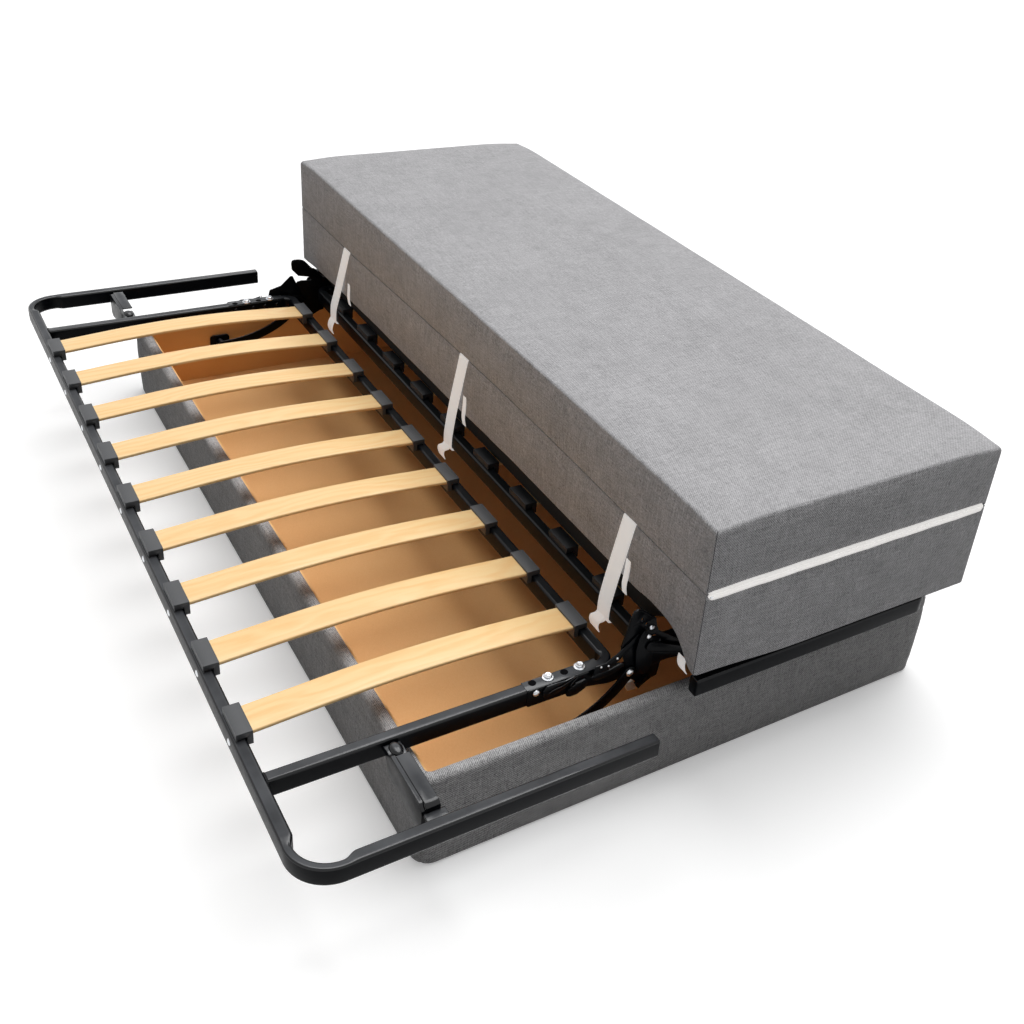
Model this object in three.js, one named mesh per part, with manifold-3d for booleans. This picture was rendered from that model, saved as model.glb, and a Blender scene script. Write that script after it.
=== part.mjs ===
// Fold-flat sofa bed: an upholstered storage base, two slatted steel sections that meet at a
// centre hinge, and a mattress in two halves folded double on the rear section.
// Millimetres, +X along the sofa, +Y to its back, +Z up.

import * as THREE from 'three';
import { mergeVertices } from 'three/addons/utils/BufferGeometryUtils.js';
import Module from 'manifold-3d';

const wasm = await Module();
wasm.setup();

// Clearances
const touch = 0.3; // between pieces that touch
const overrun = 5; // how far a cutter passes the face that it cuts

// Steel tube
const tubeWidth = 24;
const tubeHeight = 38;
const tubeEdge = 3.5;
const frameLift = 11; // underside of the tubes above the base
const hoopBend = 62;
const railBend = 46;

// Slatted sections, measured from the centre line between them
const centreGap = 31.5; // to each section's inner rail
const sectionDepth = 677;
const railInset = 125; // side rails' outer faces, in from the mattress's ends
const frontArmReach = 207; // front arms' outer faces, out from the side rails
const frontArmSetback = 76; // to the free ends of the arms
const rearArmSetback = 59.5;

// Slats and their end caps
const slatCount = 9;
const frontSlatMargin = 139; // from a side rail's outer face to the first slat's middle
const rearSlatMargin = 171;
const slatWidth = 66;
const slatThickness = 8;
const slatCrown = 16;
const slatBowPower = 1.35; // 1 is a plain parabola
const capWidth = 74;
const capDepth = 28;
const capInset = 6; // from the rail's outer face
const capFloor = 1.2;
const capRoof = 1.6;
const capBack = 3;
const capLegDrop = 12;
const pocketRise = 1.8;

// Arm brackets
const bracketWidth = 32;
const bracketSetback = 464; // from the centre line to the bracket's near side
const bracketThickness = 4;
const bracketRise = 3; // above the tubes
const bracketDrop = 50;
const bracketRound = 24;
const bracketFoot = 20;
const flangeThickness = 4;
const flangeDrop = 22; // below the tubes
const clipLength = 40;
const clipHeight = 16;

// Base box
const baseReach = 74; // outer faces, out from the side rails
const baseHeight = 207;
const baseWall = 27;
const baseFront = 460.5; // from the centre line
const baseRear = 733.5;
const baseCorner = 36;
const rimRound = 12;
const footRound = 5;
const linerThickness = 4;
const bottomThickness = 6;
const linerLift = 6; // the bottom board's height above the ground
const rimShow = 13; // fabric rim above the lining

// Mattress
const mattressLength = 2000;
const mattressDepth = 700;
const mattressSetback = 44.5; // from the centre line to its front face
const lowerThickness = 174;
const upperThickness = 152;
const lowerEdge = 24;
const upperEdge = 13;
const mattressCrown = 6;
const sideDraw = 2.5;
const zipHeight = 9;
const zipProud = 2;
const zipLift = 4; // above the seam
const zipMargin = 16;

// Straps
const strapSlats = [1, 5, 9]; // the rear slats that they hang beside
const strapGap = 3; // to that slat's cap
const strapWidth = 26;
const strapThickness = 1.6;
const strapTail = 18;
const strapBelowSeam = 4;

// Hinge mechanism at each end
const plateThickness = 5;
const plateGap = 3.5; // between plates that turn past each other
const pivotSetback = 10; // pivot in front of the centre line
const pivotDrop = 29; // below the tube tops
const pivotEye = 18;
const pinRadius = 6;
const pinHead = 10;
const pinHeadDepth = 3;
const carrierReach = 190; // front plate's length along the side rail
const carrierToe = 63; // from its far end to its deepest point
const carrierHeel = 47.5; // from the pivot to where its top edge drops
const boltRadius = 9;
const boltHeight = 5;
const boltHole = 7;
const boltPitch = 66;
const boltLead = 16.5; // from the end of the flange
const linkWidth = 26;
const liftPivotBehind = 26; // rear section's pivot behind the centre line
const liftPivotRise = 26; // above the tube tops
const anchorBehind = 218; // link's lower pivot behind the centre line
const anchorDrop = 70; // below the tube tops
const armPadAhead = 185; // support arm's lower end in front of the centre line
const armPadDrop = 89; // below the base's rim
const armSag = 26;
const wallPlateHeight = 98;
const wallPlateDrop = 4; // below the top of the lining
const wallPlateMargin = 42;
const rearPlateReach = 190;
const rearPlateDrop = 88; // below the tube tops
const rearPlateHeel = 95; // where its lower edge turns up
const liftEye = 14; // radius of its shoulder round the pivot
const shoulderAngle = Math.PI / 4;
const windowMargin = 16;
const windowReach = 26;

// Numbers of steps
const bendSteps = 7;
const slatSteps = 12;
const lowerCells = [8, 5, 2];
const upperCells = [10, 6, 2];
const roundSteps = 6;
const pinSides = 16;

// Levels and places worked out from the sizes
const railSpan = mattressLength - 2 * railInset;
const rearHoopLength = mattressLength;
const frontHoopLength = railSpan + 2 * frontArmReach;
const baseLength = railSpan + 2 * baseReach;
const frameLow = baseHeight + frameLift;
const frameTop = frameLow + tubeHeight;
const tubeLevel = frameTop - tubeHeight / 2;
const capLow = frameTop + touch;
const pocketLow = capLow + capFloor;
const slatLow = pocketLow + touch;
const pocketHigh = slatLow + slatThickness + pocketRise;
const capHigh = pocketHigh + capRoof;
const slatHigh = slatLow + slatThickness + slatCrown;
const lowerBottom = slatHigh + touch;
const seamLevel = lowerBottom + lowerThickness;
const upperBottom = seamLevel + touch;
const railOuter = centreGap + sectionDepth;
const sideRailOuter = railSpan / 2;
const linerInner = baseLength / 2 - baseWall - touch - linerThickness;
const originShift = (railOuter - mattressSetback - mattressDepth) / 2;

const finishes = {
  fabric: { color: 0x8f8d8b, roughness: 0.95, metalness: 0 },
  seatFabric: { color: 0x9b9997, roughness: 0.95, metalness: 0 },
  board: { color: 0xc8915a, roughness: 0.75, metalness: 0 },
  steel: { color: 0x24262a, roughness: 0.45, metalness: 0.3 },
  birch: { color: 0xf0d09a, roughness: 0.5, metalness: 0 },
  plastic: { color: 0x35373a, roughness: 0.6, metalness: 0 },
  webbing: { color: 0xe8e4dc, roughness: 0.9, metalness: 0 },
};

const sofaBed = new THREE.Group();
sofaBed.position.set(0, originShift, 0);

function addPart(name, geometry, finish) {
  const mesh = new THREE.Mesh(geometry, new THREE.MeshStandardMaterial(finishes[finish]));
  mesh.name = name;
  sofaBed.add(mesh);
  return mesh;
}

// Booleans

function plain(geometry) {
  const bare = geometry.clone();
  bare.deleteAttribute('normal');
  bare.deleteAttribute('uv');
  return mergeVertices(bare);
}

function toSolid(geometry) {
  const merged = plain(geometry);
  const vertProperties = new Float32Array(merged.attributes.position.array);
  const triVerts = new Uint32Array(merged.index.array);
  return new wasm.Manifold(new wasm.Mesh({ numProp: 3, vertProperties, triVerts }));
}

function toGeometry(solid) {
  const mesh = solid.getMesh();
  const geometry = new THREE.BufferGeometry();
  geometry.setAttribute('position', new THREE.BufferAttribute(mesh.vertProperties, 3));
  geometry.setIndex(new THREE.BufferAttribute(mesh.triVerts, 1));
  geometry.computeVertexNormals();
  return geometry;
}

function join(...geometries) {
  const solids = geometries.map(toSolid);
  return toGeometry(solids.slice(1).reduce((whole, next) => whole.add(next), solids[0]));
}

function cut(geometry, ...cutters) {
  const whole = toSolid(geometry);
  return toGeometry(cutters.reduce((left, cutter) => left.subtract(toSolid(cutter)), whole));
}

// Shapes

function block(low, high) {
  const size = high.map((value, axis) => value - low[axis]);
  const middle = high.map((value, axis) => (value + low[axis]) / 2);
  return new THREE.BoxGeometry(...size).translate(...middle);
}

function mirrored(geometry, x, y) {
  const turned = plain(geometry).scale(x, y, 1);
  if (x * y < 0) {
    const index = turned.index;
    for (let i = 0; i < index.count; i += 3) {
      const second = index.getX(i + 1);
      index.setX(i + 1, index.getX(i + 2));
      index.setX(i + 2, second);
    }
  }
  turned.computeVertexNormals();
  return turned;
}

// A flat outline in Y and Z, given depth along X
function sidePlate(outline, near, depth) {
  const shape = outline instanceof THREE.Shape ? outline : new THREE.Shape(outline);
  const settings = { depth, bevelEnabled: false, curveSegments: roundSteps };
  const geometry = new THREE.ExtrudeGeometry(shape, settings);
  const basis = new THREE.Matrix4().makeBasis(
    new THREE.Vector3(0, 1, 0), new THREE.Vector3(0, 0, 1), new THREE.Vector3(1, 0, 0));
  return geometry.applyMatrix4(basis).translate(near, 0, 0);
}

// A flat outline in X and Z, given depth towards the front
function frontPlate(outline, rearFace, depth) {
  const shape = outline instanceof THREE.Shape ? outline : new THREE.Shape(outline);
  const settings = { depth, bevelEnabled: false, curveSegments: roundSteps };
  const geometry = new THREE.ExtrudeGeometry(shape, settings);
  const basis = new THREE.Matrix4().makeBasis(
    new THREE.Vector3(1, 0, 0), new THREE.Vector3(0, 0, 1), new THREE.Vector3(0, -1, 0));
  return geometry.applyMatrix4(basis).translate(0, rearFace, 0);
}

function point(a, b) {
  return new THREE.Vector2(a, b);
}

// A round pin along X
function pin(radius, from, to, y, z) {
  const geometry = new THREE.CylinderGeometry(radius, radius, to - from, pinSides);
  return geometry.rotateZ(Math.PI / 2).translate((from + to) / 2, y, z);
}

// Stations of a level tube route that turns each corner with one bend radius
function bentRoute(corners, bendRadius) {
  const stations = [];
  const add = (place, heading) => stations.push({
    place: new THREE.Vector3(place.x, place.y, tubeLevel),
    heading: new THREE.Vector3(heading.x, heading.y, 0),
  });
  corners.forEach((corner, i) => {
    const arrive = i > 0 ? corner.clone().sub(corners[i - 1]).normalize() : null;
    const leave = i < corners.length - 1 ? corners[i + 1].clone().sub(corner).normalize() : null;
    if (!arrive || !leave) {
      add(corner, arrive ?? leave);
      return;
    }
    const turn = Math.atan2(arrive.cross(leave), arrive.dot(leave));
    const start = corner.clone().addScaledVector(arrive, -bendRadius * Math.tan(Math.abs(turn) / 2));
    const side = point(-arrive.y, arrive.x).multiplyScalar(bendRadius * Math.sign(turn));
    const centre = start.clone().add(side);
    for (let k = 0; k <= bendSteps; k++) {
      const angle = (turn * k) / bendSteps;
      const heading = arrive.clone().rotateAround(point(0, 0), angle);
      add(centre.clone().sub(side.clone().rotateAround(point(0, 0), angle)), heading);
    }
  });
  return stations;
}

class StationPath extends THREE.Curve {
  constructor(stations) {
    super();
    this.stations = stations;
  }

  stationAt(share) {
    return this.stations[Math.round(share * (this.stations.length - 1))];
  }

  getPoint(share, target = new THREE.Vector3()) {
    return target.copy(this.stationAt(share).place);
  }

  getPointAt(share, target = new THREE.Vector3()) {
    return this.getPoint(share, target);
  }

  getTangentAt(share, target = new THREE.Vector3()) {
    return target.copy(this.stationAt(share).heading);
  }
}

function chamferedSection(height, width, edge) {
  const a = height / 2;
  const b = width / 2;
  return new THREE.Shape([
    point(-a, -b + edge), point(-a + edge, -b), point(a - edge, -b), point(a, -b + edge),
    point(a, b - edge), point(a - edge, b), point(-a + edge, b), point(-a, b - edge),
  ]);
}

function bentTube(corners, bendRadius) {
  const stations = bentRoute(corners, bendRadius);
  return new THREE.ExtrudeGeometry(chamferedSection(tubeHeight, tubeWidth, tubeEdge), {
    steps: stations.length - 1,
    bevelEnabled: false,
    extrudePath: new StationPath(stations),
  });
}

// A foam block with rounded edges, a crowned top and sides drawn in between the corners
function cushion(size, edge, crown, inner) {
  const half = size.map((value) => value / 2);
  const edgeShares = [0, 0.3, 1];
  const places = half.map((reach, axis) => {
    const low = edgeShares.map((share) => -reach + share * edge);
    const span = 2 * (reach - edge);
    const count = inner[axis];
    const middle = Array.from({ length: count - 1 }, (_, k) => edge - reach + (span * (k + 1)) / count);
    const high = edgeShares.map((share) => reach - share * edge).reverse();
    return [...low, ...middle, ...high];
  });
  const cells = places.map((list) => list.length - 1);
  const geometry = plain(new THREE.BoxGeometry(...size, ...cells));
  const position = geometry.attributes.position;
  for (let i = 0; i < position.count; i++) {
    const raw = [position.getX(i), position.getY(i), position.getZ(i)];
    const cell = raw.map((value, axis) => Math.round((value / size[axis] + 0.5) * cells[axis]));
    const seat = cell.map((place, axis) => places[axis][place]);
    const core = seat.map((value, axis) => (
      THREE.MathUtils.clamp(value, edge - half[axis], half[axis] - edge)));
    const out = new THREE.Vector3(...seat.map((value, axis) => value - core[axis])).setLength(edge);
    const round = core.map((value, axis) => value + out.getComponent(axis));
    const inset = round.map((value, axis) => 1 - (value / half[axis]) ** 2);
    const x = round[0] * (1 - (sideDraw * inset[1]) / half[0]);
    const y = round[1] * (1 - (sideDraw * inset[0]) / half[1]);
    const z = round[2] + crown * inset[0] * inset[1] * Math.max(0, round[2] / half[2]);
    position.setXYZ(i, x, y, z);
  }
  geometry.computeVertexNormals();
  return geometry;
}

// Base

// Points of a rectangle with rounded corners, anticlockwise from its right-hand rear corner
function roundedRectangle(left, right, low, high, radius, lowRadius = radius) {
  const centres = [
    point(right - radius, high - radius), point(left + radius, high - radius),
    point(left + lowRadius, low + lowRadius), point(right - lowRadius, low + lowRadius),
  ];
  const outline = [];
  for (const [quarter, centre] of centres.entries()) {
    const bend = quarter < 2 ? radius : lowRadius;
    for (let k = 0; k <= roundSteps; k++) {
      const angle = ((quarter + k / roundSteps) * Math.PI) / 2;
      const out = point(Math.cos(angle), Math.sin(angle));
      outline.push({ place: centre.clone().addScaledVector(out, bend), out });
    }
  }
  return outline;
}

// The padded walls: one section with a rounded rim and foot, carried round the base's outline
function baseBox() {
  const x = baseLength / 2;
  const ring = roundedRectangle(-x, x, -baseFront, baseRear, baseCorner);
  const section = roundedRectangle(-baseWall, 0, 0, baseHeight, rimRound, footRound)
    .map((corner) => corner.place);
  const places = [];
  const faces = [];
  for (const [i, station] of ring.entries()) {
    for (const [j, spot] of section.entries()) {
      places.push(
        station.place.x + station.out.x * spot.x, station.place.y + station.out.y * spot.x, spot.y);
      const nextRing = ((i + 1) % ring.length) * section.length;
      const next = (j + 1) % section.length;
      const here = i * section.length;
      faces.push(here + j, nextRing + next, here + next, here + j, nextRing + j, nextRing + next);
    }
  }
  const geometry = new THREE.BufferGeometry();
  geometry.setAttribute('position', new THREE.Float32BufferAttribute(places, 3));
  geometry.setIndex(faces);
  geometry.computeVertexNormals();
  return geometry;
}

// A level board that fills the space inside the walls, drawn in by a margin
function innerBoard(margin, low, high) {
  const x = baseLength / 2 - baseWall - margin;
  const front = -baseFront + baseWall + margin;
  const rear = baseRear - baseWall - margin;
  const outline = roundedRectangle(-x, x, front, rear, baseCorner - baseWall - margin)
    .map((corner) => corner.place);
  const settings = { depth: high - low, bevelEnabled: false };
  return new THREE.ExtrudeGeometry(new THREE.Shape(outline), settings).translate(0, 0, low);
}

function baseLiner() {
  const low = linerLift + bottomThickness + touch;
  const high = baseHeight - rimShow;
  return cut(
    innerBoard(touch, low, high), innerBoard(touch + linerThickness, low - overrun, high + overrun));
}

addPart('base_box', baseBox(), 'fabric');
addPart('base_bottom', innerBoard(touch, linerLift, linerLift + bottomThickness), 'board');
addPart('base_liner', baseLiner(), 'board');

// Slatted sections; each is drawn for the front and turned over to the rear by side = -1

function hoop(length, setback) {
  const x = (length - tubeWidth) / 2;
  const y = -railOuter + tubeWidth / 2;
  return bentTube([point(-x, -setback), point(-x, y), point(x, y), point(x, -setback)], hoopBend);
}

function railFrame() {
  const x = sideRailOuter - tubeWidth / 2;
  const far = -railOuter + tubeWidth + touch;
  const near = -centreGap - tubeWidth / 2;
  return bentTube([point(-x, far), point(-x, near), point(x, near), point(x, far)], railBend);
}

function slat() {
  const far = -railOuter + capInset + capBack + touch;
  const near = -centreGap - capInset - capBack - touch;
  const top = [];
  const bottom = [];
  for (let k = 0; k <= slatSteps; k++) {
    const reach = (2 * k) / slatSteps - 1;
    const rise = slatCrown * (1 - reach * reach) ** slatBowPower;
    const y = (far + near) / 2 + (reach * (near - far)) / 2;
    bottom.push(point(y, slatLow + rise));
    top.unshift(point(y, slatLow + slatThickness + rise));
  }
  return sidePlate([...bottom, ...top], -slatWidth / 2, slatWidth);
}

// The cap on the outer rail, with its leg down the rail's inner side
function capBody() {
  const back = -railOuter + capInset;
  const mouth = back + capDepth;
  const railFace = -railOuter + tubeWidth + touch;
  const outline = [
    point(back, capLow), point(railFace, capLow), point(railFace, frameTop - capLegDrop),
    point(mouth, frameTop - capLegDrop), point(mouth, capHigh), point(back, capHigh),
  ];
  return sidePlate(outline, -capWidth / 2, capWidth);
}

function cap() {
  const back = -railOuter + capInset + capBack;
  const mouth = -railOuter + capInset + capDepth;
  const half = slatWidth / 2 + touch;
  return cut(capBody(), block([-half, back, pocketLow], [half, mouth + overrun, pocketHigh]));
}

// The same cap turned round to the section's inner rail
function innerTurn(geometry) {
  return mirrored(geometry, 1, -1).translate(0, -railOuter - centreGap, 0);
}

function slatPlaces(margin) {
  const pitch = (railSpan - 2 * margin) / (slatCount - 1);
  return Array.from({ length: slatCount }, (_, k) => (k - (slatCount - 1) / 2) * pitch);
}

function armBracket(hoopLength) {
  const near = sideRailOuter + touch;
  const far = hoopLength / 2 - tubeWidth - touch;
  const top = frameTop + bracketRise;
  const low = top - bracketDrop;
  const bend = far - bracketFoot;
  const strap = new THREE.Shape();
  strap.moveTo(near + clipLength, top);
  strap.lineTo(bend - bracketRound, top);
  strap.absarc(bend - bracketRound, top - bracketRound, bracketRound, Math.PI / 2, 0, true);
  strap.lineTo(bend, low + bracketThickness);
  strap.lineTo(far, low + bracketThickness);
  strap.lineTo(far, low);
  strap.lineTo(bend - bracketThickness, low);
  strap.lineTo(bend - bracketThickness, top - bracketRound);
  strap.absarc(
    bend - bracketRound, top - bracketRound, bracketRound - bracketThickness, 0, Math.PI / 2, false);
  strap.lineTo(near + clipLength, top - bracketThickness);
  const clip = new THREE.Shape();
  const clipTop = top - bracketThickness / 2;
  clip.moveTo(near, clipTop - clipHeight);
  clip.lineTo(near + clipLength + bracketThickness, clipTop - clipHeight);
  clip.lineTo(near + clipLength + bracketThickness, clipTop);
  clip.lineTo(near + clipHeight, clipTop);
  clip.absarc(near + clipHeight, clipTop - clipHeight, clipHeight, Math.PI / 2, Math.PI, false);
  const flange = new THREE.Shape([
    point(near + clipLength / 2, clipTop - clipHeight / 2), point(near + clipLength, frameLow),
    point(bend - bracketRound, frameLow - flangeDrop), point(bend - bracketThickness / 2, low),
    point(bend - bracketThickness / 2, top - bracketRound),
    point(bend - bracketRound, top - bracketThickness / 2),
    point(near + clipLength, top - bracketThickness / 2),
  ]);
  return join(
    frontPlate(strap, -bracketSetback, bracketWidth),
    frontPlate(clip, -bracketSetback, bracketWidth),
    frontPlate(flange, -bracketSetback - bracketWidth + flangeThickness, flangeThickness));
}

const sides = [['left', -1], ['right', 1]];

addPart('front_hoop', hoop(frontHoopLength, frontArmSetback), 'steel');
addPart('front_rail_frame', railFrame(), 'steel');
for (const [i, x] of slatPlaces(frontSlatMargin).entries()) {
  addPart(`front_slat_${i + 1}`, slat(), 'birch').position.set(x, 0, 0);
  addPart(`front_slat_cap_${i + 1}_outer`, cap(), 'plastic').position.set(x, 0, 0);
  addPart(`front_slat_cap_${i + 1}_inner`, innerTurn(cap()), 'plastic').position.set(x, 0, 0);
}
for (const [name, side] of sides) {
  addPart(`front_arm_bracket_${name}`, mirrored(armBracket(frontHoopLength), side, 1), 'steel');
}

// The rear hoop's arms are welded to short ties that reach the side rails
function rearHoop() {
  const near = sideRailOuter + touch;
  const far = rearHoopLength / 2 - tubeWidth / 2;
  const tie = block(
    [near, -bracketSetback - bracketWidth, frameLow + tubeEdge],
    [far, -bracketSetback, frameTop - tubeEdge]);
  return join(hoop(rearHoopLength, rearArmSetback), tie, mirrored(tie, -1, 1));
}

addPart('rear_hoop', mirrored(rearHoop(), 1, -1), 'steel');
addPart('rear_rail_frame', mirrored(railFrame(), 1, -1), 'steel');
const rearSlat = mirrored(join(slat(), capBody(), innerTurn(capBody())), 1, -1);
for (const [i, x] of slatPlaces(rearSlatMargin).entries()) {
  addPart(`rear_slat_${i + 1}`, rearSlat.clone(), 'birch').position.set(x, 0, 0);
}

// Hinge mechanism, drawn for the right-hand end

const pivot = point(-pivotSetback, frameTop - pivotDrop);
const liftPivot = point(liftPivotBehind, frameTop + liftPivotRise);
const anchor = point(anchorBehind, frameTop - anchorDrop);
const carrierFace = sideRailOuter + touch;
const supportFace = carrierFace + plateThickness + plateGap;
const linkFace = supportFace + plateThickness + plateGap;
const wallFace = linerInner - touch;

// A flat bar between two round eyes
function barOutline(from, to, width) {
  const along = to.clone().sub(from);
  const angle = along.angle();
  const shape = new THREE.Shape();
  shape.absarc(to.x, to.y, width / 2, angle - Math.PI / 2, angle + Math.PI / 2);
  shape.absarc(from.x, from.y, width / 2, angle + Math.PI / 2, angle + 1.5 * Math.PI);
  return shape;
}

// The plate that carries the front section: a side flange and a top flange bolted to the rail
function frontPlateBody() {
  const eyeTop = Math.min(pivot.y + pivotEye, frameTop);
  const side = new THREE.Shape();
  const start = pivot.x - carrierReach;
  side.moveTo(start, frameTop);
  side.lineTo(start, frameLow + tubeEdge);
  side.lineTo(start + carrierToe, frameLow - tubeEdge);
  side.lineTo(pivot.x - pivotEye, pivot.y - pivotEye);
  side.absarc(pivot.x, pivot.y, pivotEye, -Math.PI / 2, Math.PI / 2);
  side.lineTo(pivot.x - pivotEye, eyeTop);
  side.lineTo(pivot.x - carrierHeel, frameTop + touch + plateThickness / 2);
  side.lineTo(start, frameTop + touch + plateThickness / 2);
  const railEnd = -centreGap - tubeWidth / 2 - railBend;
  const low = frameTop + touch;
  const high = low + plateThickness / 2;
  const flange = block(
    [carrierFace - tubeWidth, start, low], [carrierFace + plateThickness, railEnd, high]);
  const bolts = [];
  const holes = [];
  for (const step of [0, 1]) {
    const x = carrierFace - tubeWidth / 2;
    const bolt = new THREE.CylinderGeometry(boltRadius, boltRadius, boltHeight, pinSides);
    const hole = new THREE.CylinderGeometry(boltHole, boltHole, plateThickness + overrun, pinSides);
    const y = railEnd - boltLead - step * boltPitch;
    bolts.push(bolt.rotateX(Math.PI / 2).translate(x, y, high + boltHeight / 2 - touch));
    holes.push(hole.rotateX(Math.PI / 2).translate(x, y - boltPitch / 2, high));
  }
  const plate = join(sidePlate(side, carrierFace, plateThickness), flange, ...bolts);
  return cut(plate, ...holes, pin(pinRadius + touch, carrierFace - overrun,
    carrierFace + plateThickness + overrun, pivot.x, pivot.y));
}

// The curved support arm and the plate that bolts it inside the base's end wall
function supportArm() {
  const foot = point(-armPadAhead, baseHeight - armPadDrop);
  const half = linkWidth / 2;
  const bend = point((pivot.x + foot.x) / 2 + armSag, (pivot.y + foot.y) / 2 - armSag);
  const route = new THREE.QuadraticBezierCurve(foot, bend, pivot);
  const left = [];
  const right = [];
  for (let k = 0; k <= roundSteps; k++) {
    const place = route.getPoint(k / roundSteps);
    const normal = route.getTangent(k / roundSteps).rotateAround(point(0, 0), Math.PI / 2);
    left.unshift(place.clone().addScaledVector(normal, half));
    right.push(place.clone().addScaledVector(normal, -half));
  }
  const bar = sidePlate([...right, ...left], supportFace, plateThickness);
  const topEye = pin(half + touch, supportFace, supportFace + plateThickness, pivot.x, pivot.y);
  const footEye = pin(half + touch, supportFace, supportFace + plateThickness, foot.x, foot.y);
  const boss = pin(half - tubeEdge, supportFace, wallFace - plateThickness / 2, foot.x, foot.y);
  const plateTop = baseHeight - rimShow - wallPlateDrop;
  const wallPlate = block(
    [wallFace - plateThickness, foot.x - wallPlateMargin, plateTop - wallPlateHeight],
    [wallFace, anchor.x + wallPlateMargin, plateTop]);
  return join(bar, topEye, footEye, boss, wallPlate, ...pivotPin());
}

// The rivet set in the arm's upper eye, on which the front plate turns
function pivotPin() {
  const from = carrierFace - touch - pinHeadDepth;
  const to = supportFace + plateThickness + pinHeadDepth;
  return [
    pin(pinRadius, from, to, pivot.x, pivot.y),
    pin(pinHead, from, from + pinHeadDepth, pivot.x, pivot.y),
    pin(pinHead, to - pinHeadDepth, to, pivot.x, pivot.y),
  ];
}

function swingLink() {
  const bar = sidePlate(barOutline(anchor, liftPivot, linkWidth), linkFace, plateThickness);
  const foot = pin(pinRadius, linkFace + plateThickness / 2, wallFace - plateThickness - touch,
    anchor.x, anchor.y);
  const head = pin(pinRadius, carrierFace + plateThickness + touch, linkFace + plateThickness / 2,
    liftPivot.x, liftPivot.y);
  return join(bar, foot, head);
}

// The tall pressed plate that carries the rear section
function rearPlate() {
  const eye = liftEye;
  const front = liftPivot.x - eye;
  const back = rearPlateReach;
  const shape = new THREE.Shape();
  shape.absarc(liftPivot.x, liftPivot.y, eye, Math.PI, shoulderAngle, true);
  shape.lineTo(mattressSetback + eye, frameTop + tubeEdge);
  shape.lineTo(back, frameTop - tubeEdge);
  shape.lineTo(back, frameLow + tubeEdge);
  shape.lineTo(rearPlateHeel, frameLow - tubeEdge);
  shape.lineTo(mattressSetback + eye, frameTop - rearPlateDrop + pivotEye);
  shape.lineTo(liftPivot.x + eye / 2, frameTop - rearPlateDrop);
  shape.lineTo(front + eye / 3, frameTop - rearPlateDrop + pivotEye / 2);
  shape.lineTo(front + eye / 2, frameLow);
  const plate = sidePlate(shape, carrierFace, plateThickness);
  const opening = new THREE.Shape([
    point(mattressSetback, frameTop - windowMargin),
    point(mattressSetback + windowReach, frameTop - windowMargin - windowMargin / 2),
    point(mattressSetback, frameLow + windowMargin / 2),
  ]);
  return cut(plate, sidePlate(opening, carrierFace - overrun, plateThickness + 2 * overrun));
}

for (const [name, side] of sides) {
  addPart(`support_arm_${name}`, mirrored(supportArm(), side, 1), 'steel');
  addPart(`front_hinge_plate_${name}`, mirrored(frontPlateBody(), side, 1), 'steel');
  addPart(`swing_link_${name}`, mirrored(swingLink(), side, 1), 'steel');
  addPart(`rear_hinge_plate_${name}`, mirrored(rearPlate(), side, 1), 'steel');
}

// Mattress

const mattressMiddle = mattressSetback + mattressDepth / 2;
addPart('mattress_lower',
  cushion([mattressLength, mattressDepth, lowerThickness], lowerEdge, 0, lowerCells),
  'seatFabric').position.set(0, mattressMiddle, lowerBottom + lowerThickness / 2);
addPart('mattress_upper',
  cushion([mattressLength, mattressDepth, upperThickness], upperEdge, mattressCrown, upperCells),
  'seatFabric').position.set(0, mattressMiddle, upperBottom + upperThickness / 2);

const zipFace = mattressLength / 2 + touch;
addPart('mattress_zip', block(
  [zipFace, mattressSetback + zipMargin, upperBottom + zipLift],
  [zipFace + zipProud, mattressSetback + mattressDepth - zipMargin, upperBottom + zipLift + zipHeight]),
  'webbing');

// A strap hangs from the seam and its sewn end loops round the rear section's inner rail
function strap() {
  const inner = touch;
  const front = centreGap - inner - strapThickness;
  const back = centreGap + tubeWidth + inner + strapThickness;
  const low = frameLow - inner - strapThickness;
  const high = frameTop + inner + strapThickness;
  const top = seamLevel - strapBelowSeam;
  const topFront = mattressSetback - touch - strapThickness;
  const shape = new THREE.Shape([
    point(front, low - strapTail), point(front + strapThickness, low - strapTail),
    point(front + strapThickness, low), point(back, low), point(back, high),
    point(front + 2 * strapThickness, high), point(topFront + strapThickness, top),
    point(topFront, top), point(front, high),
  ]);
  shape.holes.push(new THREE.Path([
    point(front + strapThickness, low + strapThickness),
    point(front + strapThickness, high - strapThickness),
    point(back - strapThickness, high - strapThickness),
    point(back - strapThickness, low + strapThickness),
  ]));
  return sidePlate(shape, -strapWidth / 2, strapWidth);
}

const besideSlat = (capWidth + strapWidth) / 2 + strapGap;
for (const [i, slatNumber] of strapSlats.entries()) {
  const x = slatPlaces(rearSlatMargin)[slatNumber - 1] + besideSlat;
  addPart(`strap_${i + 1}`, strap(), 'webbing').position.set(x, 0, 0);
}

export default sofaBed;
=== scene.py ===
import math

import bmesh
import bpy
from mathutils import Matrix, Vector, noise


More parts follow.
